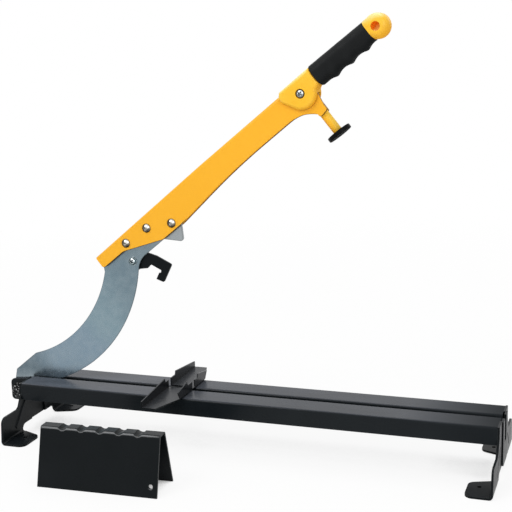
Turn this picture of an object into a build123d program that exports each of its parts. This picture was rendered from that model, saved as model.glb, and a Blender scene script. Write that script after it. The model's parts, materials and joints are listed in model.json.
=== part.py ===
import math
import os
from build123d import *

os.makedirs("parts", exist_ok=True)

# Beams, in mm: X along them from the pivot end, Y to the rear, Z up, floor at Z = 0
beam_length = 596.0
beam_width = 33.5
beam_height = 21.0
beam_top = 64.1
beam_sheet = 2.0
beam_bend = 2.5
slot_gap = 8.0

# End brackets: plate, flanged feet, arch, joggled middle panel and pressed beads
plate_t = 2.5
foot_reach = 31.3
foot_spread = 50.0
foot_start = 3.0
foot_taper = 9.0
foot_inner_r = 9.0
foot_outer_r = 9.0
foot_lean = 3.0
foot_hole_d = 5.0
foot_hole_inset = 18.0
foot_hole_offset = 22.5
neck_rise = 7.5
shoulder_h = 33.6
shoulder_run = 9.0
shoulder_r = 8.5
arch_h = 10.3
arch_lean = 2.0
arch_r = 7.0
right_notch = 28.0
notch_r = 1.5
panel_w = 38.0
panel_r = 6.0
panel_lap = 2.5
joggle = 2.0
bead_w = 5.5
bead_h = 1.4
bead_groove = 2.6
bead_taper_deg = 25.0
bead_top_in = 8.5
bead_low_out = 17.5
tongue_l = 25.0
tongue_h = 12.0
tongue_r = 4.0

# Pivot bolt and its stack
pivot_out = 17.5
pivot_drop = 19.5
pivot_d = 10.0
pivot_hex = 17.0
pivot_turn_deg = 12.0
pivot_head_h = 6.4
pivot_nut_h = 8.5
pivot_collar_r = 7.6
pivot_collar_h = 2.0
bolt_edge = 0.9
bolt_past_nut = 2.0
ear_r = 14.0
ear_root = 22.0
ear_top_round = 6.0
ear_low_round = 5.0
pivot_washer_r = 10.0
pivot_washer_t = 1.5
pivot_spacer_r = 9.0

# Blade, drawn in the lever's plane: u along the lever from the pivot, v across it
lever_deg = 38.5
lever_y = -1.1
blade_t = 3.0
tail_r = 11.5
tail_corner_u = 11.8
tail_corner_v = 24.6
cut_r = 178.6
toe_u = 58.72
toe_v = -21.9
heel_u = 242.87
heel_v = 22.1
back_r = 147.9
back_start_u = 49.58
back_end_u = 202.87
back_end_v = 46.5
bevel_w = 4.0
bevel_past = 0.8
shank_lead = 9.1
shank_length = 134.4
shank_low = 30.3
shank_top = 62.5
throat_l = 19.1
tab_start = 82.9
tab_tip = 101.7
tab_drop = 17.4
tab_r = 3.5

# Rivets, as distances along the shank and below its top edge
rivet_along = (41.1, 75.6, 106.0)
rivet_below = (6.7, 9.0, 23.9)
rivet_d = 5.0
rivet_head_r = 5.5
rivet_head_h = 3.4
rivet_edge = 2.0
rivet_tail_r = 4.6
rivet_tail_h = 1.8
spacer_ring_r = 6.0

# Arm, folded over the blade shank
arm_gap = 9.6
arm_sheet = 2.0
arm_bend = 3.2
arm_room = 4.5
arm_lap = 4.6
nose_l = 36.0
nose_h = 19.0
nose_droop = 2.4
droop_run = 183.0
nose_r = 4.0
nose_throat_r = 14.0
cheek_start = 88.6
cheek_end = 119.6
cheek_h = 39.2
cheek_r = 12.0
slim_h = 29.6
slim_run = 119.5
slim_r = 900.0
lug_start = 34.0
lug_offset = 6.2
lug_w = 12.4
lug_h = 48.6
lug_neck_h = 39.6
lug_throat_h = 43.7
lug_slant = 2.0
lug_corner_r = 3.0
arm_past_boss = 15.0
rear_trim = 5.0

# Handle and grip
boss_u = 542.5
boss_below = 13.9
boss_r = 18.5
boss_rise_deg = -25.0
boss_fall_deg = -147.5
boss_nose = 24.5
boss_corner = 5.0
boss_neck = 20.6
boss_roof = 2.9
boss_cheek = 6.2
boss_round = 4.5
handle_screw_d = 5.0
handle_head_r = 4.5
handle_head_h = 4.0
handle_head_edge = 1.6
head_sink = 2.6
handle_nut_af = 8.0
handle_nut_t = 4.0
nut_sink = 4.4
grip_offset = 24.0
grip_length = 77.5
grip_proud = 1.6
grip_h = 29.2
grip_end_h = 27.5
grip_w = 27.0
grip_round = 10.5
groove_r = 19.6
groove_depth = 2.6
groove_count = 4
groove_start = 8.0
groove_tail = 3.5
core_w = 16.0
core_h = 17.0
core_r = 6.0
core_rise = 1.1
knob_offset = 10.3
knob_drop = 1.1
knob_r = 14.2
knob_round = 9.0
knob_neck_low = 9.5
knob_neck_in = 0.15
knob_hole_d = 10.4
knob_hole_deep = 17.0

# Stop rod and pad
rod_d = 10.75
rod_back = 1.5
rod_embed = 19.3
rod_flat_lead = 2.7
pad_d = 29.6
pad_t = 5.0
pad_below_lug = 28.6
pad_edge = 0.6
pad_sink = 3.0
stop_screw_d = 4.0
stop_head_r = 3.9
stop_head_h = 2.0
stop_screw_l = 13.5

# Latch hook, measured from its screw in axes turned from the lever by hook_tilt_deg
hook_rise = 3.8
hook_t = 2.6
hook_tilt_deg = 25.0
hook_boss_r = 12.6
hook_out = 20.2
hook_leg_w = 13.3
hook_drop = 46.2
hook_bar_t = 10.6
hook_barb = 6.3
hook_relief = 2.2
hook_boss_low_deg = -115.0
hook_boss_top_deg = 120.0
hook_mouth = 22.0
hook_shoulder = 24.0
hook_screw_d = 5.0
hook_head_r = 4.4
hook_head_h = 3.2
hook_head_edge = 1.4
hook_washer_r = 5.4
hook_washer_t = 0.9
hook_nut_af = 8.0
hook_nut_t = 5.0
hook_past_nut = 1.1
latch_deg = 18.0
latch_lift = 0.45
latch_bite = 4.0
pin_d = 5.0
pin_head_r = 3.1
pin_head_t = 1.8
pin_edge = 0.45

# Fence lying across both beams, long wall to the left
fence_from_pivot = 209.0
fence_w = 33.0
fence_t = 1.5
fence_bend = 1.2
fence_front = 83.0
fence_rear = 81.0
fence_short_front = 41.0
fence_short_rear = 37.5
fence_tip = 18.0
fence_wall_h = 10.4
fence_peak_h = 15.0
fence_end_h = 8.6
fence_short_end_h = 10.2
fence_dip = 13.5
fence_dip_far = 18.0
fence_ramp = 1.5
fence_lean = 7.0
fence_slit_end = 3.5
fence_tie_h = 1.8

# Support stand in front of the beams
stand_length = 144.5
stand_height = 65.9
stand_spread = 25.3
stand_ridge = 7.5
stand_sheet = 2.0
stand_bend = 3.0
stand_from_pivot = 196.7
stand_ahead = 120.85
stand_deg = 2.5
dart_pitch = 22.85
dart_count = 5
dart_r = 5.5
dart_depth = 3.0
stand_hole_d = 5.0
stand_hole_in = 8.0
stand_hole_up = 12.0

# Clearances
shank_clear = 0.1
run_clear = 0.1
pin_fit = 0.05
hook_clear = 0.3
seat_clear = 0.1
notch_clear = 1.0
ear_clear = 0.4
slit_clear = 0.2
closed_gap = 0.2
past = 1.0
pick_near = 0.01

# Places that follow from the sizes above
half_len = beam_length / 2
slot_half = slot_gap / 2
beam_out = slot_half + beam_width
beam_mid = slot_half + beam_width / 2
beam_bottom = beam_top - beam_height
wall_in = slot_half + beam_sheet
plate_x = half_len + plate_t
foot_tip = plate_x - foot_reach
foot_outer = beam_out + foot_spread
foot_inner = beam_out + foot_start
pivot_x = -(plate_x + pivot_out)
pivot_z = beam_top - pivot_drop
notch_half = wall_in + notch_clear
stack_half = wall_in + pivot_washer_t

blade_half = blade_t / 2
blade_front = lever_y - blade_half
blade_rear = lever_y + blade_half
toe = (toe_u, toe_v)
heel = (heel_u, heel_v)
back_start = (back_start_u, tail_corner_v)
back_end = (back_end_u, back_end_v)
tail_corner = (tail_corner_u, tail_corner_v)
shank_u = back_end_u + shank_lead
rivet_spots = [(shank_u + along, shank_top - below) for along, below in zip(rivet_along, rivet_below)]

arm_half = arm_gap / 2
arm_out = arm_half + arm_sheet
arm_top = shank_top + arm_room + arm_sheet
arm_u = shank_u - arm_lap
arm_end = boss_u + arm_past_boss
lug_u = boss_u + lug_offset
lug_low = arm_top - lug_h
boss = (boss_u, arm_top - boss_below)
boss_half = arm_out + boss_cheek
handle_top = arm_top + boss_roof
grip_u = boss_u + grip_offset
grip_end = grip_u + grip_length
grip_low = handle_top + grip_proud - grip_h
grip_mid = grip_low + grip_h / 2
knob = (grip_end + knob_offset, grip_mid - knob_drop)

lever_rad = math.radians(lever_deg)
lever = Plane(
    origin=(pivot_x, lever_y, pivot_z),
    x_dir=(math.cos(lever_rad), 0, math.sin(lever_rad)),
    z_dir=(0, -1, 0),
)
# Tilt left in the arm when the near edge of the pad lands on the beams, and the plane under the pad
pad_u = lug_u - rod_back
pad_v = lug_low - pad_below_lug
pad_rise = beam_top + closed_gap - pivot_z
pad_near = pad_u - pad_d / 2
closed_rad = math.asin(pad_rise / math.hypot(pad_near, pad_v)) - math.atan2(pad_v, pad_near)
rod_plane = Plane(
    origin=lever.from_local_coords(Vector(pad_u, pad_v, 0)),
    x_dir=lever.x_dir,
    z_dir=lever.y_dir,
)
# Axes of the hook about its screw, behind the blade
hook = (heel_u, shank_low + hook_rise)
hook_rad = lever_rad + math.radians(hook_tilt_deg)
hook_plane = Plane(
    origin=lever.from_local_coords(Vector(hook[0], hook[1], -blade_half - hook_clear)),
    x_dir=(math.cos(hook_rad), 0, math.sin(hook_rad)),
    z_dir=(0, -1, 0),
)
hook_in = hook_out - hook_leg_w
hook_catch = hook_drop - hook_bar_t
hook_back = -blade_half - hook_clear - hook_t - run_clear
# The latch pin lies over the hook's barb when the lever is down and the hook is swung in
latched_rad = closed_rad + math.radians(hook_tilt_deg - latch_deg)
pin_in_hook = (latch_bite - hook_barb, pin_d / 2 + latch_lift - hook_catch)
screw_down = Vector(hook[0], hook[1], 0).rotate(Axis.Z, math.degrees(closed_rad))
pin_down = screw_down + Vector(*pin_in_hook, 0).rotate(Axis.Z, math.degrees(latched_rad))
pin_x = pivot_x + pin_down.X
pin_z = pivot_z + pin_down.Y


def around(centre, radius, deg):
    """Point on a circle, the angle counted from the first axis."""
    turn = math.radians(deg)
    return (centre[0] + radius * math.cos(turn), centre[1] + radius * math.sin(turn))


def tangent_deg(point, radius, side):
    """Angle at which a line from the point touches a circle about the pivot."""
    reach = math.hypot(*point)
    return math.degrees(math.atan2(point[1], point[0]) + side * math.acos(radius / reach))


def arc_centre(start, end, radius):
    """Centre of the arc that hangs between two points, above them both."""
    run = end[0] - start[0]
    rise = end[1] - start[1]
    half = math.hypot(run, rise) / 2
    lift = math.sqrt(radius**2 - half**2) / (2 * half)
    return ((start[0] + end[0]) / 2 - rise * lift, (start[1] + end[1]) / 2 + run * lift)


def across(x, y, z):
    """Plane square to the slot at a place, its normal to the front."""
    return Plane(origin=(x, y, z), x_dir=(1, 0, 0), z_dir=(0, -1, 0))


def nearest(sketch, point):
    """Corner of a sketch closest to a point."""
    return sketch.vertices().sort_by_distance(point)[0]


# Front beam: folded channel, its slot wall running out into the pivot ear
with BuildPart() as front_beam:
    with BuildSketch(Plane.YZ.offset(-half_len)) as section:
        with Locations((-beam_mid, beam_top - beam_height / 2)):
            Rectangle(beam_width, beam_height)
        fillet(section.vertices().group_by(Axis.Y)[-1], radius=beam_bend)
        with Locations((-beam_mid, beam_top - beam_sheet)):
            Rectangle(
                beam_width - 2 * beam_sheet,
                beam_height,
                align=(Align.CENTER, Align.MAX),
                mode=Mode.SUBTRACT,
            )
    extrude(amount=beam_length)
    with BuildSketch(Plane.XZ.offset(slot_half)) as ear:
        ear_top = (pivot_x - ear_r, pivot_z + ear_r)
        ear_low = (pivot_x - ear_r, pivot_z - ear_r)
        root_x = -half_len + ear_root
        with BuildLine():
            Polyline(
                ear_top,
                ear_low,
                (-half_len, pivot_z - ear_r),
                (root_x, beam_bottom),
                (root_x, beam_top - beam_bend),
                (-half_len, beam_top - beam_bend),
                close=True,
            )
        make_face()
        fillet(nearest(ear, ear_top), radius=ear_top_round)
        fillet(nearest(ear, ear_low), radius=ear_low_round)
    extrude(amount=beam_sheet)
    with BuildSketch(Plane.XZ.offset(slot_half)):
        with Locations((pivot_x, pivot_z)):
            Circle(pivot_d / 2 + shank_clear)
        with Locations((pin_x, pin_z)):
            Circle(pin_d / 2 + shank_clear)
    extrude(amount=beam_sheet, mode=Mode.SUBTRACT)
front_beam.part.label = "front_beam"
export_step(front_beam.part, "parts/front_beam.step")

# Rear beam: mirror twin of the front beam
with BuildPart() as rear_beam:
    add(front_beam.part.mirror(Plane.XZ))
rear_beam.part.label = "rear_beam"
export_step(rear_beam.part, "parts/rear_beam.step")

# Bracket stamping: bent plate cut to its outline, with arch, beads and two flanged feet
neck = (beam_out + shoulder_run, shoulder_h)
shoulder = (foot_outer - foot_lean, shoulder_h)
arch = (foot_inner - arch_lean, arch_h)
bead_top = (beam_out - bead_top_in, beam_bottom - bead_w / 2)
bead_low = (beam_out + bead_low_out, arch_h)
bead_rise = bead_top[1] - bead_low[1]
bead_run = bead_low[0] - bead_top[0]
bead_l = math.hypot(bead_run, bead_rise) - bead_w
bead_deg = math.degrees(math.atan2(bead_rise, bead_run))
with BuildPart() as stamping:
    with BuildSketch(Plane.XZ) as bend:
        with BuildLine():
            Polyline(
                (-plate_x, beam_top),
                (-plate_x, 0),
                (-foot_tip, 0),
                (-foot_tip, plate_t),
                (-half_len, plate_t),
                (-half_len, beam_top),
                close=True,
            )
        make_face()
        fillet(nearest(bend, (-plate_x, 0)), radius=2 * plate_t)
        fillet(nearest(bend, (-half_len, plate_t)), radius=plate_t)
    extrude(amount=foot_outer + past, both=True)
    with BuildSketch(Plane.YZ.offset(-plate_x - past)) as outline:
        with BuildLine():
            Polyline(
                (0, beam_top),
                (beam_out, beam_top),
                (beam_out, beam_bottom + neck_rise),
                neck,
                shoulder,
                (foot_outer, 0),
                (foot_inner, 0),
                arch,
                (0, arch_h),
            )
            mirror(about=Plane.YZ)
        make_face()
        for side in (-1, 1):
            fillet(nearest(outline, (side * neck[0], neck[1])), radius=shoulder_r)
            fillet(nearest(outline, (side * shoulder[0], shoulder[1])), radius=shoulder_r)
            fillet(nearest(outline, (side * arch[0], arch[1])), radius=arch_r)
    extrude(amount=foot_reach + 2 * past, mode=Mode.INTERSECT)
    # Tapered inner edges and rounded tips of the feet
    with BuildSketch(Plane.XY):
        for side in (-1, 1):
            with BuildLine():
                Polyline(
                    (-half_len + 2 * plate_t, side * arch[0]),
                    (-half_len + 2 * plate_t, side * foot_inner),
                    (-foot_tip, side * (foot_inner + foot_taper)),
                    (-foot_tip, side * arch[0]),
                    close=True,
                )
            make_face()
    extrude(amount=plate_t, mode=Mode.SUBTRACT)
    tips = stamping.faces().filter_by(Axis.X).group_by(Axis.X)[-1].edges()
    tips = tips.filter_by(lambda e: abs(e.tangent_at().Z) > abs(e.tangent_at().Y))
    tips = tips.sort_by(lambda e: abs(e.center().Y))
    fillet(tips[:2], radius=foot_inner_r)
    fillet(tips[2:], radius=foot_outer_r)
    with BuildSketch(Plane.XY):
        for side in (-1, 1):
            with Locations((foot_hole_inset - plate_x, side * (beam_out + foot_hole_offset))):
                Circle(foot_hole_d / 2)
    extrude(amount=plate_t, mode=Mode.SUBTRACT)
    # Middle panel set outwards by a joggle
    with BuildSketch(Plane.YZ.offset(-plate_x - joggle)) as panel:
        with Locations((0, arch_h)):
            Rectangle(panel_w, beam_top - arch_h, align=(Align.CENTER, Align.MIN))
        fillet(panel.vertices().group_by(Axis.Y)[0], radius=panel_r)
    extrude(amount=plate_t)
    with BuildSketch(Plane.YZ.offset(-half_len)):
        with Locations((0, arch_h - past)):
            Rectangle(panel_w - 2 * panel_lap, beam_top, align=(Align.CENTER, Align.MIN))
    extrude(amount=-joggle, mode=Mode.SUBTRACT)
    # Diagonal beads pressed from the outside
    for side in (-1, 1):
        spot = (side * (bead_top[0] + bead_low[0]) / 2, (bead_top[1] + bead_low[1]) / 2)
        with BuildSketch(Plane.YZ.offset(-half_len)):
            with Locations(spot):
                SlotCenterToCenter(bead_l, bead_w, rotation=-side * bead_deg)
        extrude(amount=bead_h, taper=bead_taper_deg)
        with BuildSketch(Plane.YZ.offset(-plate_x)):
            with Locations(spot):
                SlotCenterToCenter(bead_l, bead_groove, rotation=-side * bead_deg)
        extrude(amount=bead_h, mode=Mode.SUBTRACT)
    # Tongues welded inside the outer walls of the beams
    for side in (-1, 1):
        with BuildSketch(Plane.XZ.offset(-side * (beam_out - beam_sheet))) as tongue:
            with Locations((-half_len - plate_t / 2, beam_top - beam_height / 2)):
                Rectangle(tongue_l, tongue_h, align=(Align.MIN, Align.CENTER))
            fillet(tongue.vertices().group_by(Axis.X)[-1], radius=tongue_r)
        extrude(amount=side * plate_t)


def notch(x, low):
    """Outline of the notch in an end plate, open at the top, at a place along the beams."""
    with BuildSketch(Plane.YZ.offset(x)) as slot:
        with Locations((0, low)):
            Rectangle(2 * notch_half, beam_top, align=(Align.CENTER, Align.MIN))
        fillet(slot.vertices().group_by(Axis.Y)[0], radius=notch_r)
    return slot.sketch


# Left bracket: the stamping with a deep notch for the ears and the blade tail
with BuildPart() as left_bracket:
    add(stamping.part)
    ear_notch = notch(-plate_x - joggle, pivot_z - ear_r - ear_clear)
    extrude(ear_notch, amount=plate_t + joggle, mode=Mode.SUBTRACT)
left_bracket.part.label = "left_bracket"
export_step(left_bracket.part, "parts/left_bracket.step")

# Right bracket: the same stamping turned round, its notch only as deep as the blade slot needs
with BuildPart() as right_bracket:
    add(stamping.part.rotate(Axis.Z, 180))
    slot_notch = notch(half_len, beam_top - right_notch)
    extrude(slot_notch, amount=plate_t + joggle, mode=Mode.SUBTRACT)
right_bracket.part.label = "right_bracket"
export_step(right_bracket.part, "parts/right_bracket.step")

# Pivot bolt: hexagon head in front, shank through both ears and the blade
with BuildPart() as pivot_bolt:
    with BuildSketch(across(pivot_x, -stack_half, pivot_z)):
        RegularPolygon(pivot_hex / 2, 6, major_radius=False, rotation=pivot_turn_deg)
    extrude(amount=pivot_head_h)
    chamfer(pivot_bolt.faces().sort_by(Axis.Y)[0].edges(), length=bolt_edge)
    with BuildSketch(across(pivot_x, -stack_half, pivot_z)):
        Circle(pivot_d / 2)
    extrude(amount=-(2 * stack_half + pivot_nut_h + bolt_past_nut))
    chamfer(pivot_bolt.faces().sort_by(Axis.Y)[-1].edges(), length=bolt_edge)
pivot_bolt.part.label = "pivot_bolt"
export_step(pivot_bolt.part, "parts/pivot_bolt.step")

# Pivot nut: locking nut with a round collar on the rear end of the bolt
with BuildPart() as pivot_nut:
    with BuildSketch(across(pivot_x, stack_half, pivot_z)):
        RegularPolygon(pivot_hex / 2, 6, major_radius=False)
    extrude(amount=-(pivot_nut_h - pivot_collar_h))
    with BuildSketch(across(pivot_x, stack_half, pivot_z)):
        Circle(pivot_collar_r)
    extrude(amount=-pivot_nut_h)
    chamfer(pivot_nut.faces().sort_by(Axis.Y)[-1].edges(), length=bolt_edge)
    with BuildSketch(across(pivot_x, stack_half, pivot_z)):
        Circle(pivot_d / 2 + pin_fit)
    extrude(amount=-pivot_nut_h, mode=Mode.SUBTRACT)
pivot_nut.part.label = "pivot_nut"
export_step(pivot_nut.part, "parts/pivot_nut.step")

# Pivot washers: one under the head, one under the nut
with BuildPart() as pivot_washers:
    for face_y in (-wall_in, stack_half):
        with BuildSketch(across(pivot_x, face_y, pivot_z)):
            Circle(pivot_washer_r)
            Circle(pivot_d / 2 + shank_clear, mode=Mode.SUBTRACT)
        extrude(amount=pivot_washer_t)
pivot_washers.part.label = "pivot_washers"
export_step(pivot_washers.part, "parts/pivot_washers.step")

# Pivot spacers: hold the blade clear of both ears
with BuildPart() as pivot_spacers:
    for near, far in ((blade_front - run_clear, -slot_half), (slot_half, blade_rear + run_clear)):
        with BuildSketch(across(pivot_x, near, pivot_z)):
            Circle(pivot_spacer_r)
            Circle(pivot_d / 2 + shank_clear, mode=Mode.SUBTRACT)
        extrude(amount=near - far)
pivot_spacers.part.label = "pivot_spacers"
export_step(pivot_spacers.part, "parts/pivot_spacers.step")

# Latch pin: across the slot, headed on both ends inside the channels
with BuildPart() as latch_pin:
    with BuildSketch(across(pin_x, 0, pin_z)):
        Circle(pin_d / 2)
    extrude(amount=wall_in + pin_head_t, both=True)
    for side in (-1, 1):
        with BuildSketch(across(pin_x, -side * wall_in, pin_z)):
            Circle(pin_head_r)
        extrude(amount=side * pin_head_t)
    for end in (0, -1):
        chamfer(latch_pin.faces().sort_by(Axis.Y)[end].edges(), length=pin_edge)
latch_pin.part.label = "latch_pin"
export_step(latch_pin.part, "parts/latch_pin.step")

# Blade: tail round the pivot, curved cutting edge, rounded throat, shank with a pointed tab
tail_top_deg = tangent_deg(tail_corner, tail_r, 1)
tail_low_deg = tangent_deg(toe, tail_r, -1)
tail_top = around((0, 0), tail_r, tail_top_deg)
tail_low = around((0, 0), tail_r, tail_low_deg)
tail_far = around((0, 0), tail_r, (tail_top_deg + tail_low_deg) / 2 + 180)
cut = arc_centre(toe, heel, cut_r)
back = arc_centre(back_start, back_end, back_r)
toe_arc = math.atan2(toe_v - cut[1], toe_u - cut[0])
heel_arc = math.atan2(heel_v - cut[1], heel_u - cut[0])
grind_at = lever.from_local_coords(Vector(*cut, 0))
grind_out = lever.x_dir * math.cos(toe_arc) + lever.y_dir * math.sin(toe_arc)
with BuildPart() as blade:
    with BuildSketch(lever.offset(-blade_half)) as blade_side:
        tab = (shank_u + tab_tip, shank_low - tab_drop)
        throat_end = (heel_u + throat_l, shank_low)
        with BuildLine():
            ThreePointArc(tail_low, tail_far, tail_top)
            Polyline(tail_top, tail_corner, back_start)
            ThreePointArc(back_start, around(back, back_r, -90), back_end)
            Polyline(
                back_end,
                (shank_u, shank_top),
                (shank_u + shank_length, shank_top),
                tab,
                (shank_u + tab_start, shank_low),
                throat_end,
            )
            TangentArc(throat_end, heel, tangent=(-1, 0))
            ThreePointArc(heel, around(cut, cut_r, -90), toe)
            Line(toe, tail_low)
        make_face()
        fillet(nearest(blade_side, tab), radius=tab_r)
    extrude(amount=blade_t)
    # The rear flank of the cutting edge is ground to a cone about the centre of its arc
    with BuildSketch(Plane(grind_at, x_dir=grind_out, z_dir=grind_out.cross(lever.z_dir))):
        with BuildLine():
            Polyline(
                (cut_r - bevel_w, -blade_half),
                (cut_r + bevel_past, blade_half),
                (cut_r + bevel_past, -blade_t),
                (cut_r - bevel_w, -blade_t),
                close=True,
            )
        make_face()
    grind_deg = math.degrees(heel_arc - toe_arc)
    revolve(axis=Axis(grind_at, lever.z_dir), revolution_arc=grind_deg, mode=Mode.SUBTRACT)
    with BuildSketch(lever.offset(-blade_half)):
        Circle(pivot_d / 2 + pin_fit)
        with Locations(*rivet_spots):
            Circle(rivet_d / 2 + shank_clear)
        with Locations(hook):
            Circle(hook_screw_d / 2 + shank_clear)
    extrude(amount=blade_t, mode=Mode.SUBTRACT)
blade.part.label = "blade"
export_step(blade.part, "parts/blade.step")

# Arm: sheet folded over the blade shank, open below, with a lug for the stop rod
with BuildPart() as arm:
    with BuildSketch(lever) as arm_side:
        nose_top = (arm_u, arm_top - nose_droop)
        droop_end = (arm_u + droop_run, arm_top)
        nose_low = (arm_u, arm_top - nose_h)
        nose_end = (arm_u + nose_l, arm_top - nose_h)
        cheek_a = (arm_u + cheek_start, arm_top - cheek_h)
        cheek_b = (arm_u + cheek_end, arm_top - cheek_h)
        slim_a = (boss_u - slim_run, arm_top - slim_h)
        slim_b = (boss_u - lug_start, arm_top - slim_h)
        lug_throat = (lug_u - lug_w / 2, arm_top - lug_throat_h)
        lug_a = (lug_u - lug_w / 2, lug_low)
        lug_b = (lug_u + lug_w / 2, lug_low + lug_slant)
        with BuildLine():
            Polyline(droop_end, nose_top, nose_low, nose_end, cheek_a, cheek_b, slim_a, slim_b)
            TangentArc(slim_b, lug_throat, tangent=(1, 0))
            Polyline(
                lug_throat,
                lug_a,
                lug_b,
                (lug_u + lug_w / 2, arm_top - lug_neck_h),
                (arm_end, arm_top - slim_h + boss_round),
                (arm_end, arm_top),
                droop_end,
            )
        make_face()
        fillet(nearest(arm_side, nose_low), radius=nose_r)
        fillet(nearest(arm_side, nose_end), radius=nose_throat_r)
        fillet(nearest(arm_side, cheek_a), radius=cheek_r)
        fillet(nearest(arm_side, slim_a), radius=slim_r)
        fillet(nearest(arm_side, lug_a), radius=lug_corner_r)
        fillet(nearest(arm_side, lug_b), radius=lug_corner_r)
    extrude(amount=arm_out, both=True)
    roof = arm.faces().filter_by(lambda f: f.normal_at().dot(lever.y_dir) > 1 - pick_near)
    fillet(roof.edges().filter_by(lambda e: e.length > 2 * arm_out + past), radius=arm_bend)
    with BuildSketch(lever):
        with BuildLine():
            Polyline(
                (arm_u - past, 0),
                (arm_u - past, arm_top - nose_droop - arm_sheet),
                (droop_end[0], arm_top - arm_sheet),
                (arm_end + past, arm_top - arm_sheet),
                (arm_end + past, 0),
                close=True,
            )
        make_face()
    extrude(amount=arm_half, both=True, mode=Mode.SUBTRACT)
    # The rear wall stops short of the front one
    with BuildSketch(lever):
        with Locations((arm_end - rear_trim, 0)):
            Rectangle(rear_trim + past, 2 * arm_top, align=(Align.MIN, Align.CENTER))
    extrude(amount=-arm_out, mode=Mode.SUBTRACT)
    with BuildSketch(lever):
        with Locations(*rivet_spots):
            Circle(rivet_d / 2 + shank_clear)
        with Locations(boss):
            Circle(handle_screw_d / 2 + shank_clear)
    extrude(amount=arm_out, both=True, mode=Mode.SUBTRACT)
arm.part.label = "arm"
export_step(arm.part, "parts/arm.step")

# Arm rivets: raised heads in front, flat formed heads behind
with BuildPart() as arm_rivets:
    with BuildSketch(lever):
        with Locations(*rivet_spots):
            Circle(rivet_d / 2)
    extrude(amount=arm_out, both=True)
    with BuildSketch(lever.offset(arm_out)):
        with Locations(*rivet_spots):
            Circle(rivet_head_r)
    extrude(amount=rivet_head_h)
    rims = arm_rivets.faces().filter_by(Axis.Y).group_by(Axis.Y)[0].edges()
    chamfer(rims, length=rivet_edge)
    with BuildSketch(lever.offset(-arm_out)):
        with Locations(*rivet_spots):
            Circle(rivet_tail_r)
    extrude(amount=-rivet_tail_h)
arm_rivets.part.label = "arm_rivets"
export_step(arm_rivets.part, "parts/arm_rivets.step")

# Blade spacers: rings that centre the blade between the arm walls
with BuildPart() as blade_spacers:
    for low in (blade_half, -arm_half):
        with BuildSketch(lever.offset(low)):
            with Locations(*rivet_spots):
                Circle(spacer_ring_r)
                Circle(rivet_d / 2 + shank_clear, mode=Mode.SUBTRACT)
        extrude(amount=arm_half - blade_half)
blade_spacers.part.label = "blade_spacers"
export_step(blade_spacers.part, "parts/blade_spacers.step")

# Handle: boss over the arm end, core under the grip and rounded end knob
core_side = Plane(
    lever.from_local_coords(Vector(grip_u, grip_mid + core_rise, 0)),
    x_dir=(0, 1, 0),
    z_dir=lever.x_dir,
)
knob_at = lever.from_local_coords(Vector(knob[0], knob[1], 0))
with BuildPart() as handle:
    with BuildSketch(lever):
        boss_rise = around(boss, boss_r, boss_rise_deg)
        boss_fall = around(boss, boss_r, boss_fall_deg)
        nose_u = boss_u - boss_nose
        with BuildLine():
            ThreePointArc(boss_rise, around(boss, boss_r, -90), boss_fall)
            Polyline(
                boss_fall,
                (nose_u, boss[1] + boss_r / 3),
                (nose_u, handle_top - boss_corner),
                (nose_u + boss_corner, handle_top),
                (grip_u, handle_top),
                (grip_u, handle_top - boss_neck),
                boss_rise,
            )
        make_face()
    extrude(amount=boss_half, both=True)
    fillet(handle.faces().filter_by(Axis.Y).edges(), radius=boss_round)
    # End knob turned about the axis of its hole, cut flat where the grip ends
    with BuildSketch(Plane(knob_at, x_dir=lever.x_dir, z_dir=-lever.y_dir)) as knob_half:
        with Locations((knob_r / 2, 0)):
            Rectangle(knob_r, 2 * boss_half)
        fillet(knob_half.vertices().group_by(Axis.X)[-1], radius=knob_round)
    revolve(axis=Axis(knob_at, lever.z_dir))
    with BuildSketch(lever):
        with Locations((grip_end, knob[1])):
            Rectangle(2 * knob_r, 3 * knob_r, align=(Align.MAX, Align.CENTER))
    extrude(amount=2 * boss_half, both=True, mode=Mode.SUBTRACT)
    # Neck that carries the grip's section into the knob
    neck_h = knob_r + knob_neck_low - knob_neck_in
    neck_v = knob[1] - knob_neck_low + neck_h / 2
    with BuildSketch(core_side.offset(grip_length)):
        with Locations((0, neck_v - grip_mid - core_rise)):
            RectangleRounded(2 * (boss_half - knob_neck_in), neck_h, knob_round)
    extrude(amount=knob_offset)
    with BuildSketch(core_side.offset(-boss_round)):
        RectangleRounded(core_w, core_h, core_r)
    extrude(amount=grip_length + boss_round + knob_offset / 2)
    # Blind hole in the knob, from the front
    with BuildSketch(lever.offset(boss_half)):
        with Locations(knob):
            Circle(knob_hole_d / 2)
    extrude(amount=-knob_hole_deep, mode=Mode.SUBTRACT)
    # Pocket that takes the end of the arm, open below and to the left
    with BuildSketch(lever):
        with Locations((arm_end + seat_clear, arm_top + seat_clear)):
            Rectangle(arm_end - nose_u + past, arm_top, align=(Align.MAX, Align.MAX))
    extrude(amount=arm_out + seat_clear, both=True, mode=Mode.SUBTRACT)
    # Screw hole, head recess in front and nut recess behind
    with BuildSketch(lever):
        with Locations(boss):
            Circle(handle_screw_d / 2 + shank_clear)
    extrude(amount=boss_half, both=True, mode=Mode.SUBTRACT)
    with BuildSketch(lever.offset(boss_half)):
        with Locations(boss):
            Circle(handle_head_r + notch_clear)
    extrude(amount=-head_sink, mode=Mode.SUBTRACT)
    with BuildSketch(lever.offset(-boss_half)):
        with Locations(boss):
            RegularPolygon(handle_nut_af / 2 + slit_clear, 6, major_radius=False)
    extrude(amount=nut_sink, mode=Mode.SUBTRACT)
handle.part.label = "handle"
export_step(handle.part, "parts/handle.step")

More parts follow.
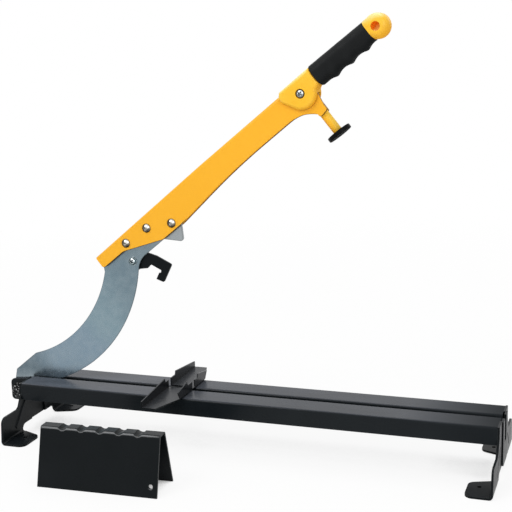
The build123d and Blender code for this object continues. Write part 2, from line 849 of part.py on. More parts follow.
# Grip: rubber sleeve over the core, lower towards the knob, with finger grooves below
groove_pitch = (grip_length - groove_start - groove_tail) / (groove_count - 1)
with BuildPart() as grip:
    for along, tall in ((0, grip_h), (grip_length, grip_end_h)):
        with BuildSketch(core_side.offset(along)):
            with Locations((0, grip_low + tall / 2 - grip_mid - core_rise)):
                RectangleRounded(grip_w, tall, grip_round)
    loft(ruled=True)
    with BuildSketch(core_side):
        RectangleRounded(core_w, core_h, core_r)
    extrude(amount=grip_length, mode=Mode.SUBTRACT)
    with BuildSketch(lever):
        for step in range(groove_count):
            groove_u = grip_u + groove_start + step * groove_pitch
            with Locations((groove_u, grip_low + groove_depth - groove_r)):
                Circle(groove_r)
    extrude(amount=grip_w, both=True, mode=Mode.SUBTRACT)
grip.part.label = "grip"
export_step(grip.part, "parts/grip.step")

# Handle screw: raised head with a cross slot, sunk in the front recess
with BuildPart() as handle_screw:
    with BuildSketch(lever.offset(boss_half - head_sink)):
        with Locations(boss):
            Circle(handle_head_r)
    extrude(amount=handle_head_h)
    chamfer(handle_screw.faces().sort_by(Axis.Y)[0].edges(), length=handle_head_edge)
    with BuildSketch(lever.offset(boss_half - head_sink)):
        with Locations(boss):
            Circle(handle_screw_d / 2)
    extrude(amount=head_sink + run_clear - 2 * boss_half)
    with BuildSketch(lever.offset(boss_half - head_sink + handle_head_h)):
        with Locations(boss):
            Rectangle(handle_head_r, handle_head_r / 5)
            Rectangle(handle_head_r / 5, handle_head_r)
    extrude(amount=-handle_head_h / 2, mode=Mode.SUBTRACT)
handle_screw.part.label = "handle_screw"
export_step(handle_screw.part, "parts/handle_screw.step")

# Handle nut: sits in the hexagon recess behind
with BuildPart() as handle_nut:
    with BuildSketch(lever.offset(nut_sink - boss_half)):
        with Locations(boss):
            RegularPolygon(handle_nut_af / 2, 6, major_radius=False)
            Circle(handle_screw_d / 2 + pin_fit, mode=Mode.SUBTRACT)
    extrude(amount=-handle_nut_t)
handle_nut.part.label = "handle_nut"
export_step(handle_nut.part, "parts/handle_nut.step")

# Stop rod: round bar with two flats where it is welded between the lug walls
rod_top = pad_below_lug + rod_embed
flat_from = pad_below_lug - rod_flat_lead
with BuildPart() as stop_rod:
    with BuildSketch(rod_plane.offset(pad_t)):
        Circle(rod_d / 2)
        Circle(stop_screw_d / 2, mode=Mode.SUBTRACT)
    extrude(amount=rod_top - pad_t)
    for side in (-1, 1):
        with BuildSketch(rod_plane.offset(flat_from)):
            with Locations((0, side * (arm_half + rod_d / 2))):
                Rectangle(2 * rod_d, rod_d)
        extrude(amount=rod_top - flat_from, mode=Mode.SUBTRACT)
stop_rod.part.label = "stop_rod"
export_step(stop_rod.part, "parts/stop_rod.step")

# Stop pad: rubber disc that lands on both beams
with BuildPart() as stop_pad:
    with BuildSketch(rod_plane):
        Circle(pad_d / 2)
    extrude(amount=pad_t)
    chamfer(stop_pad.edges().filter_by(GeomType.CIRCLE), length=pad_edge)
    with BuildSketch(rod_plane):
        Circle(stop_head_r + shank_clear)
    extrude(amount=pad_sink, mode=Mode.SUBTRACT)
    with BuildSketch(rod_plane):
        Circle(stop_screw_d / 2 + shank_clear)
    extrude(amount=pad_t, mode=Mode.SUBTRACT)
stop_pad.part.label = "stop_pad"
export_step(stop_pad.part, "parts/stop_pad.step")

# Stop screw: holds the pad, its head sunk out of the way
with BuildPart() as stop_screw:
    with BuildSketch(rod_plane.offset(pad_sink)):
        Circle(stop_head_r)
    extrude(amount=-stop_head_h)
    with BuildSketch(rod_plane.offset(pad_sink)):
        Circle(stop_screw_d / 2 - pin_fit)
    extrude(amount=stop_screw_l)
    with BuildSketch(rod_plane.offset(pad_sink - stop_head_h)):
        Rectangle(stop_head_r, stop_head_r / 4)
        Rectangle(stop_head_r / 4, stop_head_r)
    extrude(amount=stop_head_h / 2, mode=Mode.SUBTRACT)
stop_screw.part.label = "stop_screw"
export_step(stop_screw.part, "parts/stop_screw.step")

# Latch hook: flat plate behind the blade, its leg ending in a barb under a square mouth
with BuildPart() as latch_hook:
    with BuildSketch(hook_plane) as hook_side:
        outer_low = (hook_out, -hook_drop)
        barb_low = (hook_relief / 2 - hook_barb, -hook_drop)
        barb_tip = (-hook_barb, -hook_catch)
        mouth_top = (hook_in, -hook_mouth)
        with BuildLine():
            Polyline(
                (hook_boss_r, 0),
                (hook_out - hook_relief, -hook_shoulder / 2),
                (hook_out, -hook_shoulder),
                outer_low,
                barb_low,
                barb_tip,
                (hook_in - 2 * hook_relief, -hook_catch),
                (hook_in - 1.5 * hook_relief, -hook_catch - hook_relief),
                (hook_in, -hook_catch - hook_relief / 2),
                mouth_top,
                (hook_in - 3 * hook_relief, hook_relief - hook_mouth),
                around((0, 0), hook_boss_r, hook_boss_low_deg),
                around((0, 0), hook_boss_r, hook_boss_top_deg),
                close=True,
            )
        make_face()
        fillet(nearest(hook_side, outer_low), radius=hook_relief)
        fillet(nearest(hook_side, barb_low), radius=hook_relief)
        fillet(nearest(hook_side, mouth_top), radius=hook_relief)
        Circle(hook_boss_r)
        Circle(hook_screw_d / 2 + pin_fit, mode=Mode.SUBTRACT)
    extrude(amount=-hook_t)
latch_hook.part.label = "latch_hook"
export_step(latch_hook.part, "parts/latch_hook.step")

# Hook screw: raised head in front of the blade, shank through the hook
head_seat = blade_half + hook_washer_t
shank_end = hook_back - hook_washer_t - hook_nut_t - hook_past_nut
with BuildPart() as hook_screw:
    with BuildSketch(lever.offset(head_seat)):
        with Locations(hook):
            Circle(hook_head_r)
    extrude(amount=hook_head_h)
    chamfer(hook_screw.faces().sort_by(Axis.Y)[0].edges(), length=hook_head_edge)
    with BuildSketch(lever.offset(head_seat)):
        with Locations(hook):
            Circle(hook_screw_d / 2)
    extrude(amount=shank_end - head_seat)
    with BuildSketch(lever.offset(head_seat + hook_head_h)):
        with Locations(hook):
            Rectangle(hook_head_r, hook_head_r / 4)
            Rectangle(hook_head_r / 4, hook_head_r)
    extrude(amount=-hook_head_h / 2, mode=Mode.SUBTRACT)
hook_screw.part.label = "hook_screw"
export_step(hook_screw.part, "parts/hook_screw.step")

# Hook washers: under the head and between hook and nut
with BuildPart() as hook_washers:
    for seat in (blade_half, hook_back - hook_washer_t):
        with BuildSketch(lever.offset(seat)):
            with Locations(hook):
                Circle(hook_washer_r)
                Circle(hook_screw_d / 2 + shank_clear, mode=Mode.SUBTRACT)
        extrude(amount=hook_washer_t)
hook_washers.part.label = "hook_washers"
export_step(hook_washers.part, "parts/hook_washers.step")

# Hook nut: locking nut that sets the drag of the hook
with BuildPart() as hook_nut:
    with BuildSketch(lever.offset(hook_back - hook_washer_t)):
        with Locations(hook):
            RegularPolygon(hook_nut_af / 2, 6, major_radius=False)
            Circle(hook_screw_d / 2 + pin_fit, mode=Mode.SUBTRACT)
    extrude(amount=-hook_nut_t)
hook_nut.part.label = "hook_nut"
export_step(hook_nut.part, "parts/hook_nut.step")

# Fence: thin channel with one long and one short wall, slit for the blade
fence_left = pivot_x + fence_from_pivot
fence_right = fence_left + fence_w


def fence_wall(front, rear, dip_front, dip_rear, end_h, lean):
    """Side of a fence wall: a dip at the slot between two crests that fall to the ends."""
    dip_z = beam_top + fence_wall_h
    crest_z = beam_top + fence_peak_h
    end_z = beam_top + end_h
    return Polyline(
        (-front, beam_top),
        (-front - lean, end_z),
        (-dip_front - fence_ramp, crest_z),
        (-dip_front, dip_z),
        (dip_rear, dip_z),
        (dip_rear + fence_ramp, crest_z),
        (rear + lean, end_z),
        (rear, beam_top),
        close=True,
    )


with BuildPart() as fence:
    with BuildSketch(Plane.XY.offset(beam_top)):
        with BuildLine():
            Polyline(
                (fence_left, -fence_front),
                (fence_left + fence_tip, -fence_front),
                (fence_right, -fence_short_front),
                (fence_right, fence_short_rear),
                (fence_left + fence_tip, fence_rear),
                (fence_left, fence_rear),
                close=True,
            )
        make_face()
    extrude(amount=fence_t)
    with BuildSketch(Plane.YZ.offset(fence_left)):
        with BuildLine():
            fence_wall(fence_front, fence_rear, fence_dip, fence_dip_far, fence_end_h, 0)
        make_face()
    extrude(amount=fence_t)
    with BuildSketch(Plane.YZ.offset(fence_right)):
        with BuildLine():
            fence_wall(
                fence_short_front,
                fence_short_rear,
                fence_dip_far,
                fence_dip,
                fence_short_end_h,
                fence_lean,
            )
        make_face()
    extrude(amount=-fence_t)
    # Slit for the blade and the hook, the walls left joined by a strip at the right
    slit_w = 2 * (slot_half + slit_clear)
    with BuildSketch(Plane.XY.offset(beam_top)):
        with Locations((fence_right - fence_t - fence_slit_end, 0)):
            Rectangle(fence_w, slit_w, align=(Align.MAX, Align.CENTER))
    extrude(amount=2 * fence_peak_h, mode=Mode.SUBTRACT)
    with BuildSketch(Plane.XY.offset(beam_top + fence_tie_h)):
        with Locations((fence_left, 0)):
            Rectangle(fence_w, slit_w, align=(Align.MIN, Align.CENTER))
    extrude(amount=2 * fence_peak_h, mode=Mode.SUBTRACT)
    folds = fence.edges().filter_by(Axis.Y).group_by(Axis.Z)[0]
    fillet(folds.group_by(Axis.X)[0] + folds.group_by(Axis.X)[-1], radius=fence_bend)
fence.part.label = "fence"
export_step(fence.part, "parts/fence.step")

# Support stand: folded A shape with a flat ridge, grooves pressed across it and a hanging hole
stand_rad = math.radians(stand_deg)
stand_way = Vector(math.cos(stand_rad), math.sin(stand_rad), 0)
stand_mid = Vector(pivot_x + stand_from_pivot, -beam_out - stand_ahead, 0)
stand_plane = Plane(
    origin=stand_mid - stand_way * (stand_length / 2),
    x_dir=(-math.sin(stand_rad), math.cos(stand_rad), 0),
    z_dir=stand_way,
)
lean = (stand_spread - stand_ridge) / stand_height
leg_w = stand_sheet * math.hypot(1, lean)
inner_top = stand_height - stand_sheet
inner_half = stand_ridge + lean * stand_sheet - leg_w
dart_plane = Plane(stand_plane.origin, x_dir=stand_way, z_dir=-stand_plane.x_dir)
dart_start = (stand_length - (dart_count - 1) * dart_pitch) / 2
dart_z = stand_height + dart_r - dart_depth
dart_spots = [(dart_start + step * dart_pitch, dart_z) for step in range(dart_count)]
with BuildPart() as stand_dents:
    with BuildSketch(dart_plane):
        with Locations(*dart_spots):
            Circle(dart_r + stand_sheet)
    extrude(amount=stand_spread, both=True)
    with BuildSketch(stand_plane) as stand_full:
        with BuildLine():
            Polyline((0, stand_height), (stand_ridge, stand_height), (stand_spread, 0), (0, 0))
            mirror(about=Plane.YZ)
        make_face()
        for side in (-1, 1):
            fillet(nearest(stand_full, (side * stand_ridge, stand_height)), radius=stand_bend)
    extrude(amount=stand_length, mode=Mode.INTERSECT)
with BuildPart() as stand:
    with BuildSketch(stand_plane) as stand_end:
        with BuildLine():
            Polyline(
                (0, stand_height),
                (stand_ridge, stand_height),
                (stand_spread, 0),
                (stand_spread - leg_w, 0),
                (inner_half, inner_top),
                (0, inner_top),
            )
            mirror(about=Plane.YZ)
        make_face()
        for side in (-1, 1):
            fillet(nearest(stand_end, (side * stand_ridge, stand_height)), radius=stand_bend)
            fillet(nearest(stand_end, (side * inner_half, inner_top)), radius=stand_sheet / 2)
    extrude(amount=stand_length)
    add(stand_dents.part)
    with BuildSketch(dart_plane):
        with Locations(*dart_spots):
            Circle(dart_r)
    extrude(amount=stand_spread, both=True, mode=Mode.SUBTRACT)
    with BuildSketch(dart_plane.offset(stand_spread)):
        with Locations((stand_length - stand_hole_in, stand_hole_up)):
            Circle(stand_hole_d / 2)
    extrude(amount=-stand_spread / 2, mode=Mode.SUBTRACT)
stand.part.label = "stand"
export_step(stand.part, "parts/stand.step")
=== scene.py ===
import json
import math

import bpy
from mathutils import Matrix, Vector


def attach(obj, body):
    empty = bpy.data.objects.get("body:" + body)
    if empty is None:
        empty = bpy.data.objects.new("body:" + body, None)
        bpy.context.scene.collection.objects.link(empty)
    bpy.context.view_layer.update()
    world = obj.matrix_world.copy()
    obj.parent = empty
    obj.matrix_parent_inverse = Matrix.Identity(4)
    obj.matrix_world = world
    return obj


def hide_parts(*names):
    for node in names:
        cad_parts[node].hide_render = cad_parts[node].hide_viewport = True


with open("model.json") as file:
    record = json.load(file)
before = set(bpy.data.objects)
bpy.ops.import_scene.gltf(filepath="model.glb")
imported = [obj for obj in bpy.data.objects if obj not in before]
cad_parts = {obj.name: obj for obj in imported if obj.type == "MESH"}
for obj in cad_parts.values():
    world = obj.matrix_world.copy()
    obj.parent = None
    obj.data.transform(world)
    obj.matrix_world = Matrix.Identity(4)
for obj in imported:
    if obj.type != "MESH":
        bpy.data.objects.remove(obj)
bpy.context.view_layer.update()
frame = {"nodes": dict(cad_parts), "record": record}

MM = 0.001

# Directions of the shared frame
RIGHT = (1.0, 0.0, 0.0)
FRONT = (0.0, -1.0, 0.0)
REAR = (0.0, 1.0, 0.0)
UP = (0.0, 0.0, 1.0)

# Camera found from the photograph: position in metres, angles in degrees, focal length in pixels
CAMERA_AT = (0.43586, -1.19803, 0.50180)
CAMERA_AZIMUTH = 19.56
CAMERA_ELEVATION = 11.83
CAMERA_ROLL = -1.59
CAMERA_REACH = 50.0
FOCAL_PX = 1103.27
IMAGE_PX = 512
SENSOR_MM = 36.0

# Studio, in metres and watts: each lamp has a name, a place, an aim, a size and a power
LAMPS = (
    ("key", (-1.3, -1.9, 2.3), (0.0, 0.0, 0.2), 1.6, 38.0),
    ("fill", (2.0, -1.8, 1.2), (0.0, 0.0, 0.2), 1.6, 20.0),
    ("top", (0.2, 0.9, 2.6), (0.0, 0.0, 0.1), 1.8, 26.0),
)
WHITE = (1.0, 1.0, 1.0, 1.0)
WORLD_LIGHT = 0.51
FLOOR_HALF = 8.0
FLOOR_GREY = (0.86, 0.86, 0.86, 1.0)
# Share of the cast shadow that the floor keeps, and the distances over which it fades out
FLOOR_SHADOW = 0.12
FLOOR_FADE = (0.5, 1.6)
# Painted contact shadow under the object: its reach, the openness it spans, and the least glow left
CONTACT_REACH = 0.09
CONTACT_OPEN = (0.12, 0.4)
CONTACT_GLOW = 0.1

# Lever axes, as the CAD has them: millimetres, u along the arm, v across it, w to the front
PIVOT = (-318.0, -1.1, 44.6)
LEVER_DEG = 38.5
ARM_OUT = 6.8
# Span along the arm where the front wall's lower edge stays yellow, free of the painted shade,
# and how it runs out at each end
ARM_OPEN = (330.0, 520.0)
ARM_OPEN_ENDS = (10.0, 8.0)

# Blade: the arc of its edge, its length, and its painted reflection tones along that length
CUT_CENTRE = (115.6, 147.4)
CUT_R = 178.6
BLADE_LENGTH = 330.0
BLADE_REFLECTION_TONES = (
    (0.00, (0.37, 0.42, 0.45)),
    (0.08, (0.125, 0.168, 0.197)),
    (0.20, (0.22, 0.295, 0.355)),
    (0.36, (0.215, 0.295, 0.36)),
    (0.50, (0.22, 0.31, 0.355)),
    (0.66, (0.165, 0.23, 0.27)),
    (0.84, (0.19, 0.245, 0.275)),
    (0.95, (0.34, 0.365, 0.376)),
)

# Radius left open at the centre of turned forms
TIP_R = 0.06

# Rivets: places, heads in front and formed heads behind
RIVETS = ((253.07, 55.8), (287.57, 53.5), (317.97, 38.6))
RIVET_R = 5.5
RIVET_H = 3.4
RIVET_RIM = 0.5
RIVET_FOOT = ((RIVET_R, 0.35), (RIVET_R - 0.3, 0.0), (TIP_R, 0.0))
# Dimple in the head as radius and depth, and the angle off the axis at which the dome begins
RIVET_DIMPLE = ((TIP_R, 1.7), (1.1, 1.65), (1.35, 0.4), (1.55, 0.18))
RIVET_DOME_DEG = 15
RIVET_TAIL_R = 4.6
RIVET_TAIL_H = 1.8
RIVET_TAIL = (
    (TIP_R, 0.0),
    (RIVET_TAIL_R - 0.2, 0.0),
    (RIVET_TAIL_R, 0.3),
    (RIVET_TAIL_R - 0.1, RIVET_TAIL_H - 0.5),
    (RIVET_TAIL_R - 0.8, RIVET_TAIL_H),
    (1.6, RIVET_TAIL_H - 0.1),
    (1.3, RIVET_TAIL_H - 0.5),
    (TIP_R, RIVET_TAIL_H - 0.6),
)

# Screws: place, height of the seat, then radius and height of the head and of the shank
HANDLE_SCREW = {"spot": (542.5, 55.1), "seat": 10.4, "head": (4.5, 4.0), "shank": (2.5, 23.3)}
HOOK_SCREW = {"spot": (242.87, 34.1), "seat": 2.4, "head": (4.4, 3.2), "shank": (2.5, 13.9)}
SCREW_DEG = LEVER_DEG + 20
SCREW_STEPS = 72
SCREW_ROWS = 22
# Height of the head's rim, and the cross's half length, half width and depth, as shares of the head
SCREW_RIM = 0.42
CROSS_LENGTH = 0.56
CROSS_WIDTH = 0.12
CROSS_DEPTH = 0.5
# In millimetres: the cross's sloping walls, the thread rings, and the bevels of head and shank
CROSS_SLOPE = 0.45
THREAD_PITCH = 0.8
THREAD_DEPTH = 0.35
SCREW_CHAMFER = 0.2
SCREW_POINT = 0.3
# Share of the shank that is threaded
THREADED = 1 / 3

# Hole in the knob
KNOB_HOLE = (654.3, 57.8)
KNOB_HOLE_R = 5.12
KNOB_FACE = 12.95
DISH_DEPTH = 9.0
DISH_BACK = 1.5
DISH_ROWS = 16

# Grip and the core inside it
GRIP_U = 566.5
GRIP_LENGTH = 77.5
GRIP_LOW = 44.3
GRIP_H = 29.2
GRIP_END_H = 27.5
GRIP_W = 27.0
GRIP_ROUND = 10.5
GRIP_END_ROUND = 0.5
GRIP_STATIONS = 110
CORE_W = 16.0
CORE_H = 17.0
CORE_V = 60.0
CORE_ROUND = 6.0
CORE_GAP = 0.1
GROOVES = 4
GROOVE_START = 8.0
GROOVE_PITCH = 22.0
GROOVE_R = 19.6
GROOVE_DEPTH = 2.6
GROOVE_SOFT = 0.5
GROOVE_NARROWS = 0.35

# Stop pad, with the ring moulded on its underside as radius and height
PAD = (547.2, -8.2)
PAD_R = 14.8
PAD_T = 5.0
PAD_RIM = 0.8
PAD_HOLE_R = 4.1
PAD_HOLE_DEPTH = 3.0
PAD_BORE_R = 2.2
PAD_RING = ((9.5, 0.0), (9.9, 0.35), (10.9, 0.35), (11.3, 0.0))
PAD_STEPS = 72

# Base, in millimetres, with the weld beads under the bracket tongues
BEAM_END = 298.0
TONGUE_END = 274.25
TONGUE_LOW = 47.6
WALL_INNER = 35.5
BEAD_R = 1.3
BEAD_RIPPLE = 0.22
BEAD_TURN = 2.4
BEAD_STEPS = 26
BEAD_SIDES = 14
BEAD_TAPER = 4.0
BEAD_TIP = 0.15


def frame_at(origin, x_dir, z_dir):
    """Matrix of an axis system in world metres whose own unit is a millimetre."""
    x = Vector(x_dir).normalized()
    z = Vector(z_dir).normalized()
    axes = Matrix((x, z.cross(x), z)).transposed().to_4x4()
    return Matrix.Translation(Vector(origin) * MM) @ axes @ Matrix.Scale(MM, 4)


def along(deg):
    """Direction in the lever's plane at an angle above the floor."""
    return (math.cos(math.radians(deg)), 0.0, math.sin(math.radians(deg)))


LEVER = frame_at(PIVOT, along(LEVER_DEG), FRONT)
LEVER_OUT = along(LEVER_DEG)
LEVER_IN = along(LEVER_DEG + 180)
LEVER_OVER = along(LEVER_DEG + 90)
LEVER_UNDER = along(LEVER_DEG - 90)


def on_lever(u, v, w=0.0):
    """Point of the lever's axes, in world millimetres."""
    return LEVER @ Vector((u, v, w)) / MM


# Mesh pieces


def piece(name, verts, faces, body, material, replaces=()):
    """Adds one smooth-shaded mesh object that rides on a body."""
    mesh = bpy.data.meshes.new(name)
    mesh.from_pydata([tuple(v) for v in verts], [], faces)
    mesh.validate()
    mesh.update()
    obj = bpy.data.objects.new(name, mesh)
    bpy.context.scene.collection.objects.link(obj)
    mesh.materials.append(material)
    mesh.shade_smooth()
    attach(obj, body)
    if replaces:
        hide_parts(*replaces)


def circle(matrix, radius, height, steps):
    """Points round the z axis of a matrix."""
    points = []
    for step in range(steps):
        turn = 2 * math.pi * step / steps
        points.append(matrix @ Vector((radius * math.cos(turn), radius * math.sin(turn), height)))
    return points


def arc(centre, radius, start_deg, end_deg, steps):
    """Points along an arc, both ends included."""
    points = []
    for step in range(steps + 1):
        turn = math.radians(start_deg + (end_deg - start_deg) * step / steps)
        points.append((centre[0] + radius * math.cos(turn), centre[1] + radius * math.sin(turn)))
    return points


def rounded_box(width, low, high, radius, steps=8):
    """Outline of a rounded rectangle, centred across and set between two heights."""
    half = width / 2 - radius
    points = []
    for cx, cy, start in (
        (half, high - radius, 0),
        (-half, high - radius, 90),
        (-half, low + radius, 180),
        (half, low + radius, 270),
    ):
        points += arc((cx, cy), radius, start, start + 90, steps)
    return points


class Builder:
    """Collects vertices and faces of several closed forms for one piece."""

    def __init__(self):
        self.verts = []
        self.faces = []

    def rings(self, rings, closed_ends=True):
        """Joins rings of points into a tube, with its ends filled."""
        start = len(self.verts)
        count = len(rings[0])
        for ring in rings:
            self.verts.extend(ring)
        for row in range(len(rings) - 1):
            for col in range(count):
                a = start + row * count + col
                b = start + row * count + (col + 1) % count
                self.faces.append((a, b, b + count, a + count))
        if closed_ends:
            last = start + (len(rings) - 1) * count
            self.faces.append(tuple(range(start + count - 1, start - 1, -1)))
            self.faces.append(tuple(range(last, last + count)))

    def closed_tube(self, rings):
        """Joins rings of points into a tube that comes back to its first ring."""
        self.rings(list(rings) + [rings[0]], closed_ends=False)

    def lathe(self, matrix, profile, steps=48):
        """Turns a profile of radius and height about the z axis of a matrix."""
        self.rings([circle(matrix, radius, height, steps) for radius, height in profile])


# Materials

# Spans in metres: painted sheen with dust along the base, its bare right end,
# the painted light on the rear half, and the painted highlight on the side
DUST_AND_SHEEN_SPAN = (-0.25, 0.05)
BARE_END_SPAN = (0.19, 0.30)
LIT_REAR_SPAN = (0.0, 0.025)
SIDE_HIGHLIGHT_RISE = (0.010, 0.050)
SIDE_HIGHLIGHT_DEPTH = (-0.014, 0.0)
# What is left at a span's far end, of the painted sheen with dust and of the side's painted
# highlight, and how much rougher the highlighted face is
DUST_AND_SHEEN_LEAST = 0.56
SIDE_HIGHLIGHT_LEAST = 0.2
SIDE_HIGHLIGHT_ROUGH = 0.25

# Stretch of the noise in dust streaks and in brushed steel, and the value that noise varies about
STREAKS = (0.25, 1.0, 1.0)
BRUSHED = (1.0, 9.0, 9.0)
NOISE_MEAN = 0.5

# Faces that a tone follows: a direction fixed to the piece, and the cosines at which the tone
# starts and is full
DUST_AND_SHEEN_FACES = (UP, 0.5, 0.95)
SIDE_HIGHLIGHT_FACES = (RIGHT, 0.6, 0.95)
FOLD_SHADE_FACES = ((0.0, -0.42, 0.91), 0.965, 0.995)
FOLD_HIGHLIGHT_FACES = ((0.0, -0.78, 0.63), 0.93, 0.98)
SHEET_END_FACES = (LEVER_OUT, 0.30, 0.60)
SHEET_EDGE_FACES = (LEVER_UNDER, 0.14, 0.36)
ROD_LIT_FACES = (LEVER_OUT, 0.1, 0.9)
ROD_SHADED_FACES = (LEVER_IN, 0.1, 0.9)
PLASTIC_OVER_FACES = (LEVER_OVER, 0.05, 0.80)
PLASTIC_TOP_FACES = ((-0.20, -0.35, 0.91), 0.62, 0.96)
PLASTIC_UNDER_FACES = (LEVER_UNDER, 0.05, 0.95)
HOLLOW_LIT_FACES = ((-0.62, -0.38, 0.69), 0.10, 0.50)
PLATE_LIT_FACES = ((0.26, -0.90, 0.36), 0.88, 0.985)
PLATE_RIM_FACES = (
    ((-0.86, -0.48, 0.15), 0.48, 0.80),
    ((0.50, -0.45, -0.74), 0.62, 0.92),
)
BLADE_REAR_FACES = (REAR, 0.2, 0.4)
BLADE_FLAT_FACES = (REAR, 0.985, 0.998)
MATT_FACES = (LEVER_UNDER, 0.3, 0.8)

# Tones that belong to one kind of finish, among them painted shade, painted light and highlights
WORN_STEEL = (0.20, 0.21, 0.22)
CORNER_SHADE = (0.001, 0.001, 0.0012)
PAINT_CORNER_SHADE = (0.22, 0.085, 0.004)
SHEET_END_SHADE = (0.34, 0.16, 0.010)
SHEET_EDGE_SHADE = (0.05, 0.026, 0.006)
ROD_LIT = (0.94, 0.58, 0.060)
ROD_SHADED = (0.88, 0.36, 0.012)
PLASTIC_TOP_HIGHLIGHT = (0.92, 0.76, 0.30)
PLASTIC_UNDER_SHADE = (0.86, 0.40, 0.012)
BLADE_PALE = (0.46, 0.53, 0.56)
BLADE_RIM = (0.05, 0.048, 0.045)
GROUND_DULL = (0.42, 0.45, 0.48)
GROUND_BRIGHT = (0.62, 0.65, 0.68)

# Plated steel: its painted shade at the rim and in recesses as shares of its dark tone,
# and the strength of the painted shine on its edges
PLATE_RIM_SHARE = 0.35
PLATE_RECESS_SHARE = 0.12
PLATE_SHINE = 0.6

# Blade sheet: how far its painted reflection tones drift, the weights of its mottle and grain,
# and its rim's strength
BLADE_DRIFT = 0.22
BLADE_MOTTLE = 0.8
BLADE_GRAIN = 0.2
BLADE_RIM_SHARE = 0.7


class Shader:
    """A node material being wired up on the object's own coordinates, in metres."""

    def __init__(self, name, **sockets):
        self.material = bpy.data.materials.new(name)
        self.material.use_nodes = True
        self.tree = self.material.node_tree
        self.surface = self.tree.nodes["Principled BSDF"]
        coords = self.tree.nodes.new("ShaderNodeTexCoord")
        self.place = coords.outputs["Object"]
        self.normal = coords.outputs["Normal"]
        for socket, value in sockets.items():
            self.surface.inputs[socket.replace("_", " ")].default_value = value

    def node(self, kind, inputs=(), **settings):
        """Adds a node, with its inputs linked or set."""
        made = self.tree.nodes.new(kind)
        for key, value in settings.items():
            setattr(made, key, value)
        for key, value in dict(inputs).items():
            if isinstance(value, bpy.types.NodeSocket):
                self.tree.links.new(value, made.inputs[key])
            else:
                made.inputs[key].default_value = value
        return made

    def mapped(self, scale, place=None):
        """Coordinates stretched along the axes."""
        made = self.node("ShaderNodeMapping", {"Vector": place or self.place, "Scale": scale})
        return made.outputs["Vector"]

    def on_lever(self):
        """Coordinates in the lever's own axes."""
        made = self.node("ShaderNodeMapping", {"Vector": self.place}, vector_type="TEXTURE")
        made.inputs["Location"].default_value = LEVER.translation
        made.inputs["Rotation"].default_value = LEVER.to_3x3().normalized().to_euler()
        return made.outputs["Vector"]

    def parts(self, place):
        """The three coordinates of a place."""
        return self.node("ShaderNodeSeparateXYZ", {0: place}).outputs

    def noise(self, scale, detail=2.0, place=None):
        """Smooth noise with about so many swells to the metre."""
        made = self.node(
            "ShaderNodeTexNoise",
            {"Vector": place or self.place, "Scale": scale, "Detail": detail},
        )
        return made.outputs["Fac"]

    def math(self, operation, first, second):
        made = self.node("ShaderNodeMath", {0: first, 1: second}, operation=operation)
        return made.outputs[0]

    def plus(self, first, second):
        return self.math("ADD", first, second)

    def minus(self, first, second):
        return self.math("SUBTRACT", first, second)

    def times(self, first, second):
        return self.math("MULTIPLY", first, second)

    def vector(self, operation, *values):
        inputs = dict(enumerate(values))
        return self.node("ShaderNodeVectorMath", inputs, operation=operation).outputs

    def spread(self, value, low, high, start=0.3, end=0.7):
        """Maps the band from start to end onto the one from low to high, held beyond it."""
        made = self.node(
            "ShaderNodeMapRange",
            {"Value": value, "From Min": start, "From Max": end, "To Min": low, "To Max": high},
        )
        return made.outputs["Result"]

    def rises(self, value, start=0.3, end=0.7):
        """From nought at the start of a band to one at its end."""
        return self.spread(value, 0.0, 1.0, start, end)

    def falls(self, value, start, end):
        """From one at the start of a band to nought at its end."""
        return self.spread(value, 1.0, 0.0, start, end)

    def mix(self, factor, first, second):
        """Colour between two others, each of them a socket or a plain tone."""
        made = self.node("ShaderNodeMix", data_type="RGBA")
        for key, value in ((0, factor), (6, first), (7, second)):
            if isinstance(value, bpy.types.NodeSocket):
                self.tree.links.new(value, made.inputs[key])
            elif key:
                made.inputs[key].default_value = (*value, 1.0)
            else:
                made.inputs[key].default_value = value
        return made.outputs[2]

    def edges(self, radius):
        """One along edges, nought on flat faces."""
        rounded = self.node("ShaderNodeBevel", {"Radius": radius}, samples=4).outputs["Normal"]
        flat = self.node("ShaderNodeNewGeometry").outputs["Normal"]
        same = self.vector("DOT_PRODUCT", rounded, flat)["Value"]
        return self.falls(same, start=0.86, end=0.995)

    def rounded(self, radius):
        """Normal of the piece as if its edges were rounded, in the piece's own axes."""
        soft = self.node("ShaderNodeBevel", {"Radius": radius}, samples=8).outputs["Normal"]
        made = self.node(
            "ShaderNodeVectorTransform",
            {"Vector": soft},
            vector_type="NORMAL",
            convert_from="WORLD",
            convert_to="OBJECT",
        )
        return made.outputs["Vector"]

    def towards(self, direction, start, end, normal=None):
        """One on faces turned to a direction fixed to the piece, nought on those turned away."""
        turned = self.vector("DOT_PRODUCT", normal or self.normal, direction)["Value"]
        return self.rises(turned, start, end)

    def openness(self, reach, samples=16):
        """Share of the surroundings that is free within a reach."""
        made = self.node("ShaderNodeAmbientOcclusion", {"Distance": reach}, samples=samples)
        return made.outputs["AO"]

    def crevice_shade(self, reach, amount):
        """Share of painted shade: up to the amount in narrow corners and holes, nought on open
        faces.
        """
        return self.spread(self.openness(reach), amount, 0.0, start=0.35, end=0.75)

    def outer(self, reach):
        """One on open faces and outer edges, nought in inner corners."""
        return self.rises(self.openness(reach), start=0.55, end=0.85)

    def matt_below(self, value, added):
        """Roughness raised on faces turned to the lever's underside."""
        return self.plus(value, self.times(self.towards(*MATT_FACES), added))

    def ramp(self, value, stops):
        """Colour along a value from nought to one, eased between the stops."""
        made = self.node("ShaderNodeValToRGB", {"Fac": value})
        made.color_ramp.interpolation = "EASE"
        points = made.color_ramp.elements
        while len(points) < len(stops):
            points.new(1.0)
        for point, (spot, tone) in zip(points, stops):
            point.position = spot
            point.color = (*tone, 1.0)
        return made.outputs["Color"]

    def colour(self, value):
        self.tree.links.new(value, self.surface.inputs["Base Color"])

    def rough(self, value):
        self.tree.links.new(value, self.surface.inputs["Roughness"])

